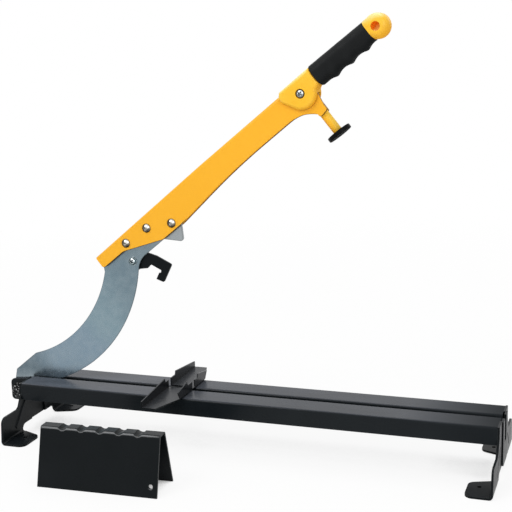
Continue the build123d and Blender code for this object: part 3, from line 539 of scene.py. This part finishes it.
    def bump(self, height, strength, distance):
        made = self.node(
            "ShaderNodeBump", {"Height": height, "Strength": strength, "Distance": distance}
        )
        self.tree.links.new(made.outputs["Normal"], self.surface.inputs["Normal"])


def darker(tone, share):
    """A tone with each of its parts cut to a share."""
    return tuple(share * part for part in tone)


def powder_coat(
    name, base, light, dust_and_sheen, rough, specular, wear, fold_highlight=None, side=None, lit_rear=None, dull_end=0.0
):
    """Painted sheet: fine orange peel, painted sheen with dust on what faces up, painted shade in
    corners, and thin worn edges.

    The bend's tone is a painted highlight beside a painted shade line, the side's a painted
    highlight on the outer face, the rear's painted light on the sheet behind the slot, and
    dull_end the roughness added at the right end, where the sheen and dust stop.
    """
    s = Shader(name, Specular_IOR_Level=specular)
    x, y, z = s.parts(s.place)
    cloud = s.noise(14.0, detail=4.0)
    streak = s.noise(60.0, detail=3.0, place=s.mapped(STREAKS))
    tone = s.mix(s.rises(cloud), base, light)
    finish = s.spread(s.plus(cloud, streak), *rough, start=0.7, end=1.3)
    # Painted light: the sheet behind the slot is paler, as if it caught more light
    if lit_rear:
        tone = s.mix(s.rises(y, *LIT_REAR_SPAN), tone, lit_rear)
    # Painted sheen with dust on faces turned up, fading along the base like a painted reflection
    dust_and_sheen_mask = s.times(s.towards(*DUST_AND_SHEEN_FACES), s.spread(streak, low=0.6, high=1.0))
    dust_and_sheen_fade = s.spread(x, 1.0, DUST_AND_SHEEN_LEAST, *DUST_AND_SHEEN_SPAN)
    if dull_end:
        # The bare right end drops the painted sheen and dust, and grows rougher
        bare_end = s.rises(x, *BARE_END_SPAN)
        dust_and_sheen_fade = s.times(dust_and_sheen_fade, s.minus(1.0, bare_end))
        finish = s.plus(finish, s.times(bare_end, dull_end))
    tone = s.mix(s.times(dust_and_sheen_mask, dust_and_sheen_fade), tone, dust_and_sheen)
    # Painted shade line and painted highlight along a rounded bend
    if fold_highlight:
        bend = s.rounded(radius=2.0 * MM)
        tone = s.mix(s.towards(*FOLD_SHADE_FACES, normal=bend), tone, base)
        tone = s.mix(s.towards(*FOLD_HIGHLIGHT_FACES, normal=bend), tone, fold_highlight)
    # Painted highlight on the upper front of faces turned right, which are also made rougher
    if side:
        high = s.rises(z, *SIDE_HIGHLIGHT_RISE)
        ahead = s.spread(y, 1.0, SIDE_HIGHLIGHT_LEAST, *SIDE_HIGHLIGHT_DEPTH)
        painted_shine = s.times(s.towards(*SIDE_HIGHLIGHT_FACES), s.times(high, ahead))
        tone = s.mix(painted_shine, tone, side)
        finish = s.plus(finish, s.times(painted_shine, SIDE_HIGHLIGHT_ROUGH))
    scuffed = s.times(s.edges(radius=0.6 * MM), s.outer(reach=3.0 * MM))
    tone = s.mix(s.times(scuffed, wear), tone, WORN_STEEL)
    # Painted shade in corners and holes
    s.colour(s.mix(s.crevice_shade(reach=5.0 * MM, amount=0.85), tone, CORNER_SHADE))
    s.rough(finish)
    s.bump(s.noise(1400.0, detail=1.0), strength=0.06, distance=0.12 * MM)
    return s.material


def cut_sheet(s, tone):
    """Paint on folded sheet: painted shade, brown on its upper end and dark on cut edges facing
    down.

    The front wall's edge stays yellow between the arm's ends, so that one dark line of painted
    shade shows there.
    """
    rounded = s.rounded(radius=1.8 * MM)
    # Painted shade in brown on the arm's upper end edge
    tone = s.mix(s.towards(*SHEET_END_FACES, normal=rounded), tone, SHEET_END_SHADE)
    u, _, w = s.parts(s.on_lever())
    (start, end), (run_in, run_out) = ARM_OPEN, ARM_OPEN_ENDS
    begun = s.rises(u, start * MM, (start + run_in) * MM)
    going = s.falls(u, end * MM, (end + run_out) * MM)
    ahead = s.rises(w, -0.5 * MM, 0.5 * MM)
    painted = s.times(ahead, s.times(begun, going))
    # Painted shade on cut edges facing down, standing in for the shadow under the arm
    cut = s.towards(*SHEET_EDGE_FACES, normal=rounded)
    return s.mix(s.times(cut, s.minus(1.0, painted)), tone, SHEET_EDGE_SHADE)


def round_rod(s, tone):
    """Paint on a rod across the lever: painted light on one side and painted shade on the other."""
    tone = s.mix(s.towards(*ROD_LIT_FACES), tone, ROD_LIT)
    return s.mix(s.towards(*ROD_SHADED_FACES), tone, ROD_SHADED)


def gloss_paint(name, base, light, form, corner_shade_amount):
    """Yellow gloss paint: painted light and shade for the form under it, and painted shade in
    corners.
    """
    s = Shader(name, Specular_IOR_Level=0.20, Coat_Weight=0.06, Coat_Roughness=0.15)
    tone = form(s, s.mix(s.rises(s.noise(9.0, detail=3.0)), base, light))
    # Painted shade in corners
    s.colour(s.mix(s.crevice_shade(reach=2.5 * MM, amount=corner_shade_amount), tone, PAINT_CORNER_SHADE))
    finish = s.spread(s.noise(160.0, detail=3.0), low=0.34, high=0.44)
    s.rough(s.matt_below(finish, added=0.5))
    s.bump(s.noise(420.0), strength=0.015, distance=0.2 * MM)
    return s.material


def moulded_plastic(name, base, light, corner_shade):
    """Semi-gloss moulded plastic: painted light above, warm painted shade below and in its corners.
    """
    s = Shader(name, Specular_IOR_Level=0.30)
    tone = s.mix(s.spread(s.noise(22.0, detail=3.0), low=0.0, high=0.35), base, light)
    # Painted light on faces turned over the lever, a painted highlight on top, painted shade below
    tone = s.mix(s.towards(*PLASTIC_OVER_FACES), tone, light)
    tone = s.mix(s.towards(*PLASTIC_TOP_FACES), tone, PLASTIC_TOP_HIGHLIGHT)
    tone = s.mix(s.towards(*PLASTIC_UNDER_FACES), tone, PLASTIC_UNDER_SHADE)
    s.colour(s.mix(s.crevice_shade(reach=2.5 * MM, amount=0.85), tone, corner_shade))
    finish = s.spread(s.noise(240.0), low=0.32, high=0.40)
    s.rough(s.matt_below(finish, added=0.5))
    s.bump(s.noise(700.0), strength=0.012, distance=0.06 * MM)
    return s.material


def hollow_plastic(name, lit, shaded):
    """Plastic in the knob's hole: painted light on its lower right wall, deep orange painted shade
    above.
    """
    s = Shader(name, Specular_IOR_Level=0.20)
    tone = s.mix(s.towards(*HOLLOW_LIT_FACES), shaded, lit)
    s.colour(s.mix(s.spread(s.noise(300.0), low=0.0, high=0.15), tone, lit))
    s.rough(s.spread(s.noise(240.0), low=0.38, high=0.46))
    return s.material


def rubber(name, base, light, rough, specular):
    """Moulded rubber with a pebbled skin and dusty patches."""
    s = Shader(name, Specular_IOR_Level=specular)
    pebble = s.node("ShaderNodeTexVoronoi", {"Vector": s.place, "Scale": 900.0})
    s.colour(s.mix(s.rises(s.noise(45.0, detail=4.0)), base, light))
    s.rough(s.matt_below(s.spread(s.noise(120.0), *rough), added=0.4))
    s.bump(pebble.outputs["Distance"], strength=0.18, distance=0.10 * MM)
    return s.material


def plated_steel(name, dark, mid, bright, rough, shade=0.75, glint=None):
    """Plated hardware: mottled as a painted reflection, with painted shade in its recesses and
    round its rim, and a painted highlight at the upper front.

    shade is the strength of the painted shade, and the last argument the tone of small pale spots
    painted as glints.
    """
    s = Shader(name, Metallic=1.0)
    # Mottled tone painted as a mottled reflection
    mottled_reflection = s.rises(s.noise(420.0, detail=3.0), start=0.38, end=0.62)
    tone = s.mix(mottled_reflection, dark, mid)
    # Painted highlight at the upper front, then painted shade and dark reflection round the rim
    tone = s.mix(s.towards(*PLATE_LIT_FACES), tone, bright)
    for faces in PLATE_RIM_FACES:
        rim = s.times(s.towards(*faces), shade)
        tone = s.mix(rim, tone, darker(dark, PLATE_RIM_SHARE))
    # Edges on open patches get a painted shine
    open_patches = s.times(s.outer(reach=2.0 * MM), mottled_reflection)
    painted_shine = s.times(s.edges(radius=0.5 * MM), open_patches)
    tone = s.mix(s.times(painted_shine, PLATE_SHINE), tone, bright)
    # Small pale spots painted as glints
    if glint:
        glint_spots = s.rises(s.noise(520.0, detail=1.0), start=0.62, end=0.68)
        tone = s.mix(glint_spots, tone, glint)
    # Painted shade in recesses
    recess_shade = s.crevice_shade(reach=2.0 * MM, amount=1.1 * shade)
    s.colour(s.mix(recess_shade, tone, darker(dark, PLATE_RECESS_SHARE)))
    s.rough(s.spread(s.noise(900.0, detail=3.0), *rough))
    s.bump(s.noise(1800.0), strength=0.05, distance=0.05 * MM)
    return s.material


def blade_steel(name):
    """Blade sheet: clouded painted reflection along its length, dark at its rim, ground bright
    behind its edge.
    """
    s = Shader(name, Metallic=0.92)
    place = s.on_lever()
    length = s.math("DIVIDE", s.parts(place)[0], BLADE_LENGTH * MM)
    drift = s.times(s.minus(s.noise(16.0), NOISE_MEAN), BLADE_DRIFT)
    # Painted reflection: tones that change along the blade's length
    tone = s.ramp(s.plus(length, drift), BLADE_REFLECTION_TONES)
    grain = s.noise(55.0, detail=4.0, place=s.mapped(BRUSHED, place))
    mottle = s.noise(140.0, detail=3.0)
    shade = s.plus(s.times(mottle, BLADE_MOTTLE), s.times(grain, BLADE_GRAIN))
    half_pale = s.mix(0.5, tone, BLADE_PALE)
    clouds = s.spread(shade, low=0.0, high=0.30, start=0.36, end=0.66)
    sheet = s.mix(clouds, tone, half_pale)
    rim = s.times(s.edges(radius=1.9 * MM), BLADE_RIM_SHARE)
    sheet = s.mix(rim, sheet, BLADE_RIM)

    # Grinding lines stand across the edge, so their noise runs along the arc alone
    centre = (CUT_CENTRE[0] * MM, CUT_CENTRE[1] * MM, 0.0)
    out_u, out_v, _ = s.parts(s.vector("SUBTRACT", place, centre)["Vector"])
    turn = s.math("ARCTAN2", out_v, out_u)
    lines = s.node("ShaderNodeCombineXYZ", {"X": s.times(turn, CUT_R * MM)})
    scratch = s.noise(2600.0, place=lines.outputs["Vector"])
    bright = s.mix(s.rises(scratch), GROUND_DULL, GROUND_BRIGHT)
    # The ground flank faces the rear at a slant, and the flat of the sheet does so squarely
    ground = s.minus(s.towards(*BLADE_REAR_FACES), s.towards(*BLADE_FLAT_FACES))

    s.colour(s.mix(ground, sheet, bright))
    s.rough(s.spread(s.plus(mottle, grain), low=0.20, high=0.32, start=0.7, end=1.3))
    s.bump(s.plus(grain, s.noise(350.0)), strength=0.015, distance=0.08 * MM)
    return s.material


BLACK_COAT = {
    "base": (0.0036, 0.0052, 0.0062),
    "light": (0.0058, 0.0076, 0.0088),
    "dust_and_sheen": (0.008, 0.010, 0.012),
    "rough": (0.26, 0.38),
    "specular": 0.08,
    "wear": 0.14,
}

# Finish of each slot of the record
MATERIALS = {
    "beam_grey": powder_coat(
        "satin_grey_coat",
        base=(0.0055, 0.0078, 0.0098),
        light=(0.0085, 0.0112, 0.0132),
        dust_and_sheen=(0.079, 0.087, 0.106),
        rough=(0.22, 0.32),
        specular=0.13,
        wear=0.10,
        dull_end=0.45,
    ),
    "black_steel": powder_coat("satin_black_coat", **BLACK_COAT),
    "dark_bolt": plated_steel(
        "black_oxide",
        dark=(0.006, 0.007, 0.007),
        mid=(0.016, 0.016, 0.017),
        bright=(0.040, 0.040, 0.042),
        rough=(0.30, 0.44),
        # pale spots painted as glints
        glint=(0.62, 0.62, 0.62),
    ),
    "zinc_steel": plated_steel(
        "zinc_plate",
        dark=(0.15, 0.13, 0.10),
        mid=(0.36, 0.34, 0.29),
        bright=(0.84, 0.82, 0.76),
        rough=(0.14, 0.26),
        shade=0.9,
    ),
    "blade_steel": blade_steel("blade_sheet"),
    "yellow_paint": gloss_paint(
        "yellow_gloss",
        base=(0.91, 0.435, 0.019),
        light=(0.93, 0.455, 0.023),
        form=cut_sheet,
        corner_shade_amount=0.9,
    ),
    "yellow_plastic": moulded_plastic(
        "yellow_moulding",
        base=(0.93, 0.50, 0.022),
        light=(0.93, 0.63, 0.085),
        corner_shade=(0.36, 0.14, 0.004),
    ),
    "black_rubber": rubber(
        "black_rubber_skin",
        base=(0.0048, 0.0056, 0.0060),
        light=(0.0078, 0.0088, 0.0094),
        rough=(0.44, 0.58),
        specular=0.13,
    ),
}

PAD_RUBBER = rubber(
    "glossy_rubber_skin",
    base=(0.0030, 0.0032, 0.0034),
    light=(0.0050, 0.0052, 0.0055),
    rough=(0.24, 0.36),
    specular=0.05,
)
HOOK_SCREW_STEEL = plated_steel(
    "blue_zinc_plate",
    dark=(0.10, 0.16, 0.18),
    mid=(0.30, 0.40, 0.43),
    bright=(0.90, 0.95, 0.96),
    rough=(0.14, 0.26),
)
HANDLE_SCREW_STEEL = plated_steel(
    "pale_zinc_plate",
    dark=(0.26, 0.28, 0.28),
    mid=(0.40, 0.43, 0.44),
    bright=(0.66, 0.71, 0.74),
    rough=(0.20, 0.32),
    shade=0.35,
)
HOLLOW_PLASTIC = hollow_plastic(
    "orange_hollow", lit=(1.0, 0.60, 0.15), shaded=(0.86, 0.205, 0.002)
)

# Nodes whose finish differs from the rest of their slot
OWN_FINISH = {
    "hook_washers": HOOK_SCREW_STEEL,
    "stop_rod": gloss_paint(
        "yellow_rod_gloss",
        base=(0.91, 0.47, 0.020),
        light=(0.93, 0.50, 0.026),
        form=round_rod,
        corner_shade_amount=0.25,
    ),
    "fence": powder_coat(
        "thin_grey_coat",
        base=(0.0045, 0.0055, 0.0070),
        light=(0.0075, 0.0090, 0.0105),
        dust_and_sheen=(0.029, 0.032, 0.037),
        rough=(0.24, 0.34),
        specular=0.16,
        wear=0.20,
        # painted light on the sheet behind the slot
        lit_rear=(0.026, 0.028, 0.031),
    ),
    # The right bracket's outer face gets a painted highlight
    "right_bracket": powder_coat("satin_side_coat", **BLACK_COAT, side=(0.15, 0.15, 0.155)),
    "stand": powder_coat(
        "satin_stand_coat",
        base=(0.0036, 0.0052, 0.0062),
        light=(0.0056, 0.0074, 0.0086),
        dust_and_sheen=(0.021, 0.024, 0.026),
        rough=(0.24, 0.36),
        specular=0.10,
        wear=0.20,
        # painted highlight along the ridge's bend
        fold_highlight=(0.17, 0.175, 0.18),
    ),
}

# Rounded edges on the CAD solids: bevel width in millimetres by node
EDGE_MM = {
    "front_beam": 0.35,
    "rear_beam": 0.35,
    "left_bracket": 0.5,
    "right_bracket": 0.5,
    "blade": 0.12,
    "arm": 0.35,
    "latch_hook": 0.35,
    "fence": 0.3,
    "stand": 0.45,
    "handle": 0.25,
    "pivot_washers": 0.25,
    "pivot_spacers": 0.2,
    "pivot_bolt": 0.25,
    "pivot_nut": 0.25,
    "hook_washers": 0.15,
    "hook_nut": 0.25,
    "handle_nut": 0.25,
    "stop_rod": 0.25,
    "stop_screw": 0.15,
    "blade_spacers": 0.15,
}
EDGE_ANGLE = 28.0
EDGE_SEGMENTS = 2
MERGE_MM = 0.002


def dress_nodes():
    """Gives every CAD node its material and small rounded edges."""
    slots = {row["node"]: row["material_slot"] for row in frame["record"]["subparts"]}
    for name, obj in frame["nodes"].items():
        obj.data.materials.clear()
        obj.data.materials.append(OWN_FINISH.get(name, MATERIALS[slots[name]]))
        if name not in EDGE_MM:
            continue
        weld = obj.modifiers.new("weld", "WELD")
        weld.merge_threshold = MERGE_MM * MM
        bevel = obj.modifiers.new("edges", "BEVEL")
        bevel.width = EDGE_MM[name] * MM
        bevel.segments = EDGE_SEGMENTS
        bevel.limit_method = "ANGLE"
        bevel.angle_limit = math.radians(EDGE_ANGLE)
        bevel.harden_normals = True


def make_rivets():
    """Domed rivets with a set mandrel dimple in front and flat formed heads behind."""
    rise = RIVET_H - RIVET_RIM
    dome_r = (RIVET_R**2 + rise**2) / (2 * rise)
    rim_deg = math.degrees(math.asin(RIVET_R / dome_r))
    dome = arc((0.0, RIVET_H - dome_r), dome_r, 90 - RIVET_DOME_DEG, 90 - rim_deg, steps=10)
    front = [(radius, RIVET_H - depth) for radius, depth in RIVET_DIMPLE] + dome
    front += RIVET_FOOT
    made = Builder()
    for u, v in RIVETS:
        made.lathe(frame_at(on_lever(u, v, ARM_OUT), LEVER_OUT, FRONT), front[::-1])
        made.lathe(frame_at(on_lever(u, v, -ARM_OUT), LEVER_OUT, REAR), RIVET_TAIL)
    piece(
        "rivet_heads", made.verts, made.faces, "lever",
        MATERIALS["zinc_steel"], replaces=("arm_rivets",),
    )


def cross_depth(x, y, half_length, half_width, depth):
    """Depth of a pressed cross at a place on a screw head, with sloping walls."""
    arms = []
    for along_arm, across_arm in ((abs(x), abs(y)), (abs(y), abs(x))):
        inside = min(half_length - along_arm, half_width - across_arm)
        arms.append(min(1.0, max(0.0, 0.5 + inside / CROSS_SLOPE)))
    return depth * max(arms)


def make_screw(name, material, nodes, spot, seat, head, shank):
    """Screw with a domed head, a cross pressed into it and a shank with thread rings behind."""
    place = frame_at(on_lever(*spot, seat), along(SCREW_DEG), FRONT)
    radius, height = head
    shank_r, shank_l = shank
    rim = SCREW_RIM * height
    cross = (CROSS_LENGTH * radius, CROSS_WIDTH * radius, CROSS_DEPTH * height)
    rings = []
    for row in range(SCREW_ROWS + 1):
        reach = max(TIP_R, radius * row / SCREW_ROWS)
        dome = rim + (height - rim) * math.sqrt(max(0.0, 1 - (reach / radius) ** 2))
        ring = []
        for step in range(SCREW_STEPS):
            turn = 2 * math.pi * step / SCREW_STEPS
            x, y = reach * math.cos(turn), reach * math.sin(turn)
            ring.append(place @ Vector((x, y, dome - cross_depth(x, y, *cross))))
        rings.append(ring)
    profile = [(radius, SCREW_CHAMFER), (radius - SCREW_CHAMFER, 0.0), (shank_r, 0.0)]
    turns = int(shank_l * THREADED / THREAD_PITCH)
    for turn in range(turns):
        low = shank_l - (turns - turn) * THREAD_PITCH
        profile += [(shank_r, -low), (shank_r - THREAD_DEPTH, -low - THREAD_PITCH / 2)]
    profile += [(shank_r - SCREW_POINT, -shank_l), (TIP_R, -shank_l)]
    rings += [circle(place, reach, low, SCREW_STEPS) for reach, low in profile]
    made = Builder()
    made.rings([ring[::-1] for ring in rings])
    piece(name, made.verts, made.faces, "lever", material, replaces=nodes)


def groove_height(u):
    """How far the grip's underside is hollowed at a place along it, with softened ridges."""
    rise = 0.0
    for step in range(GROOVES):
        off = abs(u - GROOVE_START - step * GROOVE_PITCH)
        if u < GROOVE_START and step == 0:
            off = 0.0
        if off < GROOVE_R:
            cut = GROOVE_DEPTH - GROOVE_R + math.sqrt(GROOVE_R**2 - off**2)
            rise = max(rise, GROOVE_SOFT * math.log(1 + math.exp(cut / GROOVE_SOFT)))
    return rise


def make_grip():
    """Rubber sleeve with softly scalloped finger grooves and rounded ends."""
    outer = []
    for step in range(GRIP_STATIONS + 1):
        u = GRIP_LENGTH * step / GRIP_STATIONS
        inset = max(0.0, GRIP_END_ROUND - u, GRIP_END_ROUND - (GRIP_LENGTH - u))
        pull = GRIP_END_ROUND - math.sqrt(max(0.0, GRIP_END_ROUND**2 - inset**2))
        low = GRIP_LOW + groove_height(u) + pull
        high = GRIP_LOW + GRIP_H + (GRIP_END_H - GRIP_H) * step / GRIP_STATIONS - pull
        width = GRIP_W - 2 * pull - GROOVE_NARROWS * groove_height(u)
        ring = rounded_box(width, low, high, GRIP_ROUND - pull)
        outer.append([LEVER @ Vector((GRIP_U + u, v, w)) for w, v in ring])
    core = rounded_box(
        CORE_W + 2 * CORE_GAP,
        CORE_V - CORE_H / 2 - CORE_GAP,
        CORE_V + CORE_H / 2 + CORE_GAP,
        CORE_ROUND,
    )
    inner = [[LEVER @ Vector((GRIP_U + u, v, w)) for w, v in core] for u in (GRIP_LENGTH, 0.0)]
    made = Builder()
    made.closed_tube([ring[::-1] for ring in outer + inner])
    piece(
        "grip_sleeve", made.verts, made.faces, "lever",
        MATERIALS["black_rubber"], replaces=("grip",),
    )


def make_dish():
    """Concave floor moulded in the knob's hole."""
    place = frame_at(on_lever(*KNOB_HOLE), LEVER_OUT, FRONT)
    bowl = []
    for row in range(DISH_ROWS + 1):
        turn = math.pi / 2 * row / DISH_ROWS
        reach = max(TIP_R, KNOB_HOLE_R * math.sin(turn))
        bowl.append((reach, KNOB_FACE - DISH_DEPTH * math.cos(turn)))
    back = KNOB_FACE - DISH_DEPTH - DISH_BACK
    made = Builder()
    made.lathe(place, [(TIP_R, back), (KNOB_HOLE_R, back)] + bowl[::-1])
    piece("knob_dish", made.verts, made.faces, "lever", HOLLOW_PLASTIC)


def make_pad():
    """Rubber stop foot with rounded rim, moulded ring below and a sunk screw hole."""
    place = frame_at(on_lever(*PAD), LEVER_OUT, LEVER_OVER)
    profile = [(PAD_BORE_R, PAD_HOLE_DEPTH), (PAD_HOLE_R, PAD_HOLE_DEPTH), (PAD_HOLE_R, 0.0)]
    profile += PAD_RING
    profile += arc((PAD_R - PAD_RIM, PAD_RIM), PAD_RIM, -90, 0, steps=5)
    profile += arc((PAD_R - PAD_RIM, PAD_T - PAD_RIM), PAD_RIM, 0, 90, steps=5)
    profile += [(PAD_BORE_R, PAD_T)]
    made = Builder()
    made.closed_tube([circle(place, radius, height, PAD_STEPS) for radius, height in profile])
    piece(
        "stop_foot", made.verts, made.faces, "lever",
        PAD_RUBBER, replaces=("stop_pad",),
    )


def make_welds():
    """Rippled weld beads along the lower edges of the bracket tongues inside the beams."""
    made = Builder()
    turns = [2 * math.pi * step / BEAD_SIDES for step in range(BEAD_SIDES)]
    for end in (-1, 1):
        for side in (-1, 1):
            rings = []
            for step in range(BEAD_STEPS + 1):
                x = end * (BEAM_END - (BEAM_END - TONGUE_END) * step / BEAD_STEPS)
                taper = BEAD_TAPER * min(step, BEAD_STEPS - step) / BEAD_STEPS + BEAD_TIP
                ripple = BEAD_RIPPLE * math.sin(step * BEAD_TURN + side)
                radius = min(1.0, taper) * (BEAD_R + ripple)
                ring = []
                for turn in turns:
                    y = side * WALL_INNER + radius * math.cos(turn)
                    z = TONGUE_LOW + radius * math.sin(turn)
                    ring.append(Vector((x, y, z)) * MM)
                rings.append(ring)
            made.rings(rings if end < 0 else rings[::-1])
    piece(
        "weld_beads", made.verts, made.faces, "base", MATERIALS["black_steel"]
    )


# Camera, light and floor


def make_camera():
    """Camera at the photograph's place, angle and focal length."""
    az, el, roll = (math.radians(a) for a in (CAMERA_AZIMUTH, CAMERA_ELEVATION, CAMERA_ROLL))
    forward = Vector((-math.sin(az) * math.cos(el), math.cos(az) * math.cos(el), -math.sin(el)))
    level = Vector((math.cos(az), math.sin(az), 0.0))
    upright = level.cross(forward)
    right = math.cos(roll) * level + math.sin(roll) * upright
    up = math.cos(roll) * upright - math.sin(roll) * level
    camera = bpy.data.objects.new("camera", bpy.data.cameras.new("camera"))
    camera.data.sensor_width = SENSOR_MM
    camera.data.lens = SENSOR_MM * FOCAL_PX / IMAGE_PX
    camera.data.clip_end = CAMERA_REACH
    turn = Matrix((right, up, -forward)).transposed().to_4x4()
    camera.matrix_world = Matrix.Translation(CAMERA_AT) @ turn
    bpy.context.scene.collection.objects.link(camera)
    bpy.context.scene.camera = camera


def seen_directly(tree):
    """One for camera, glossy and transmission rays, nought for the rays that light things."""
    path = tree.nodes.new("ShaderNodeLightPath")
    total = path.outputs["Is Camera Ray"]
    for kind in ("Is Glossy Ray", "Is Transmission Ray"):
        both = tree.nodes.new("ShaderNodeMath")
        both.operation = "MAXIMUM"
        tree.links.new(total, both.inputs[0])
        tree.links.new(path.outputs[kind], both.inputs[1])
        total = both.outputs[0]
    return total


def make_world():
    """White surroundings, dimmer as a light than they look."""
    world = bpy.data.worlds.new("studio")
    world.use_nodes = True
    bpy.context.scene.world = world
    tree = world.node_tree
    lit = tree.nodes["Background"]
    seen = tree.nodes.new("ShaderNodeBackground")
    for shader, strength in ((lit, WORLD_LIGHT), (seen, 1.0)):
        shader.inputs["Color"].default_value = WHITE
        shader.inputs["Strength"].default_value = strength
    mix = tree.nodes.new("ShaderNodeMixShader")
    tree.links.new(seen_directly(tree), mix.inputs[0])
    tree.links.new(lit.outputs[0], mix.inputs[1])
    tree.links.new(seen.outputs[0], mix.inputs[2])
    tree.links.new(mix.outputs[0], tree.nodes["World Output"].inputs["Surface"])


def make_floor():
    """Pale floor that looks white, whiter further off, keeps part of the object's shadow and has a
    painted contact shadow.
    """
    half = FLOOR_HALF
    mesh = bpy.data.meshes.new("floor")
    corners = [(-half, -half, 0), (half, -half, 0), (half, half, 0), (-half, half, 0)]
    mesh.from_pydata(corners, [], [(0, 1, 2, 3)])
    floor = bpy.data.objects.new("floor", mesh)
    bpy.context.scene.collection.objects.link(floor)
    s = Shader("pale_floor")
    tree = s.tree
    diffuse = s.node("ShaderNodeBsdfDiffuse", {"Color": FLOOR_GREY})
    glow = s.node("ShaderNodeEmission", {"Strength": 1.0})
    far = s.spread(s.vector("LENGTH", s.place)["Value"], 1.0 - FLOOR_SHADOW, 1.0, *FLOOR_FADE)
    # Painted contact shadow: the glow drops where the floor is closely covered
    contact_shadow_glow = s.spread(s.openness(CONTACT_REACH, samples=8), CONTACT_GLOW, 1.0, *CONTACT_OPEN)
    share = s.times(s.times(far, contact_shadow_glow), seen_directly(tree))
    mix = s.node("ShaderNodeMixShader", {0: share})
    tree.links.new(diffuse.outputs[0], mix.inputs[1])
    tree.links.new(glow.outputs[0], mix.inputs[2])
    tree.links.new(mix.outputs[0], tree.nodes["Material Output"].inputs["Surface"])
    tree.nodes.remove(s.surface)
    mesh.materials.append(s.material)


def make_lamp(name, place, aim, size, power):
    """Large soft square lamp turned towards a point."""
    lamp = bpy.data.lights.new(name, "AREA")
    lamp.size = size
    lamp.energy = power
    obj = bpy.data.objects.new(name, lamp)
    obj.location = place
    obj.rotation_euler = (Vector(aim) - Vector(place)).to_track_quat("-Z", "Y").to_euler()
    bpy.context.scene.collection.objects.link(obj)


make_camera()
make_world()
make_floor()
for lamp in LAMPS:
    make_lamp(*lamp)
dress_nodes()
make_rivets()
make_screw("handle_cross_screw", HANDLE_SCREW_STEEL, ("handle_screw",), **HANDLE_SCREW)
make_screw("hook_cross_screw", HOOK_SCREW_STEEL, ("hook_screw",), **HOOK_SCREW)
make_grip()
make_dish()
make_pad()
make_welds()

bpy.context.scene.view_settings.view_transform = "Standard"
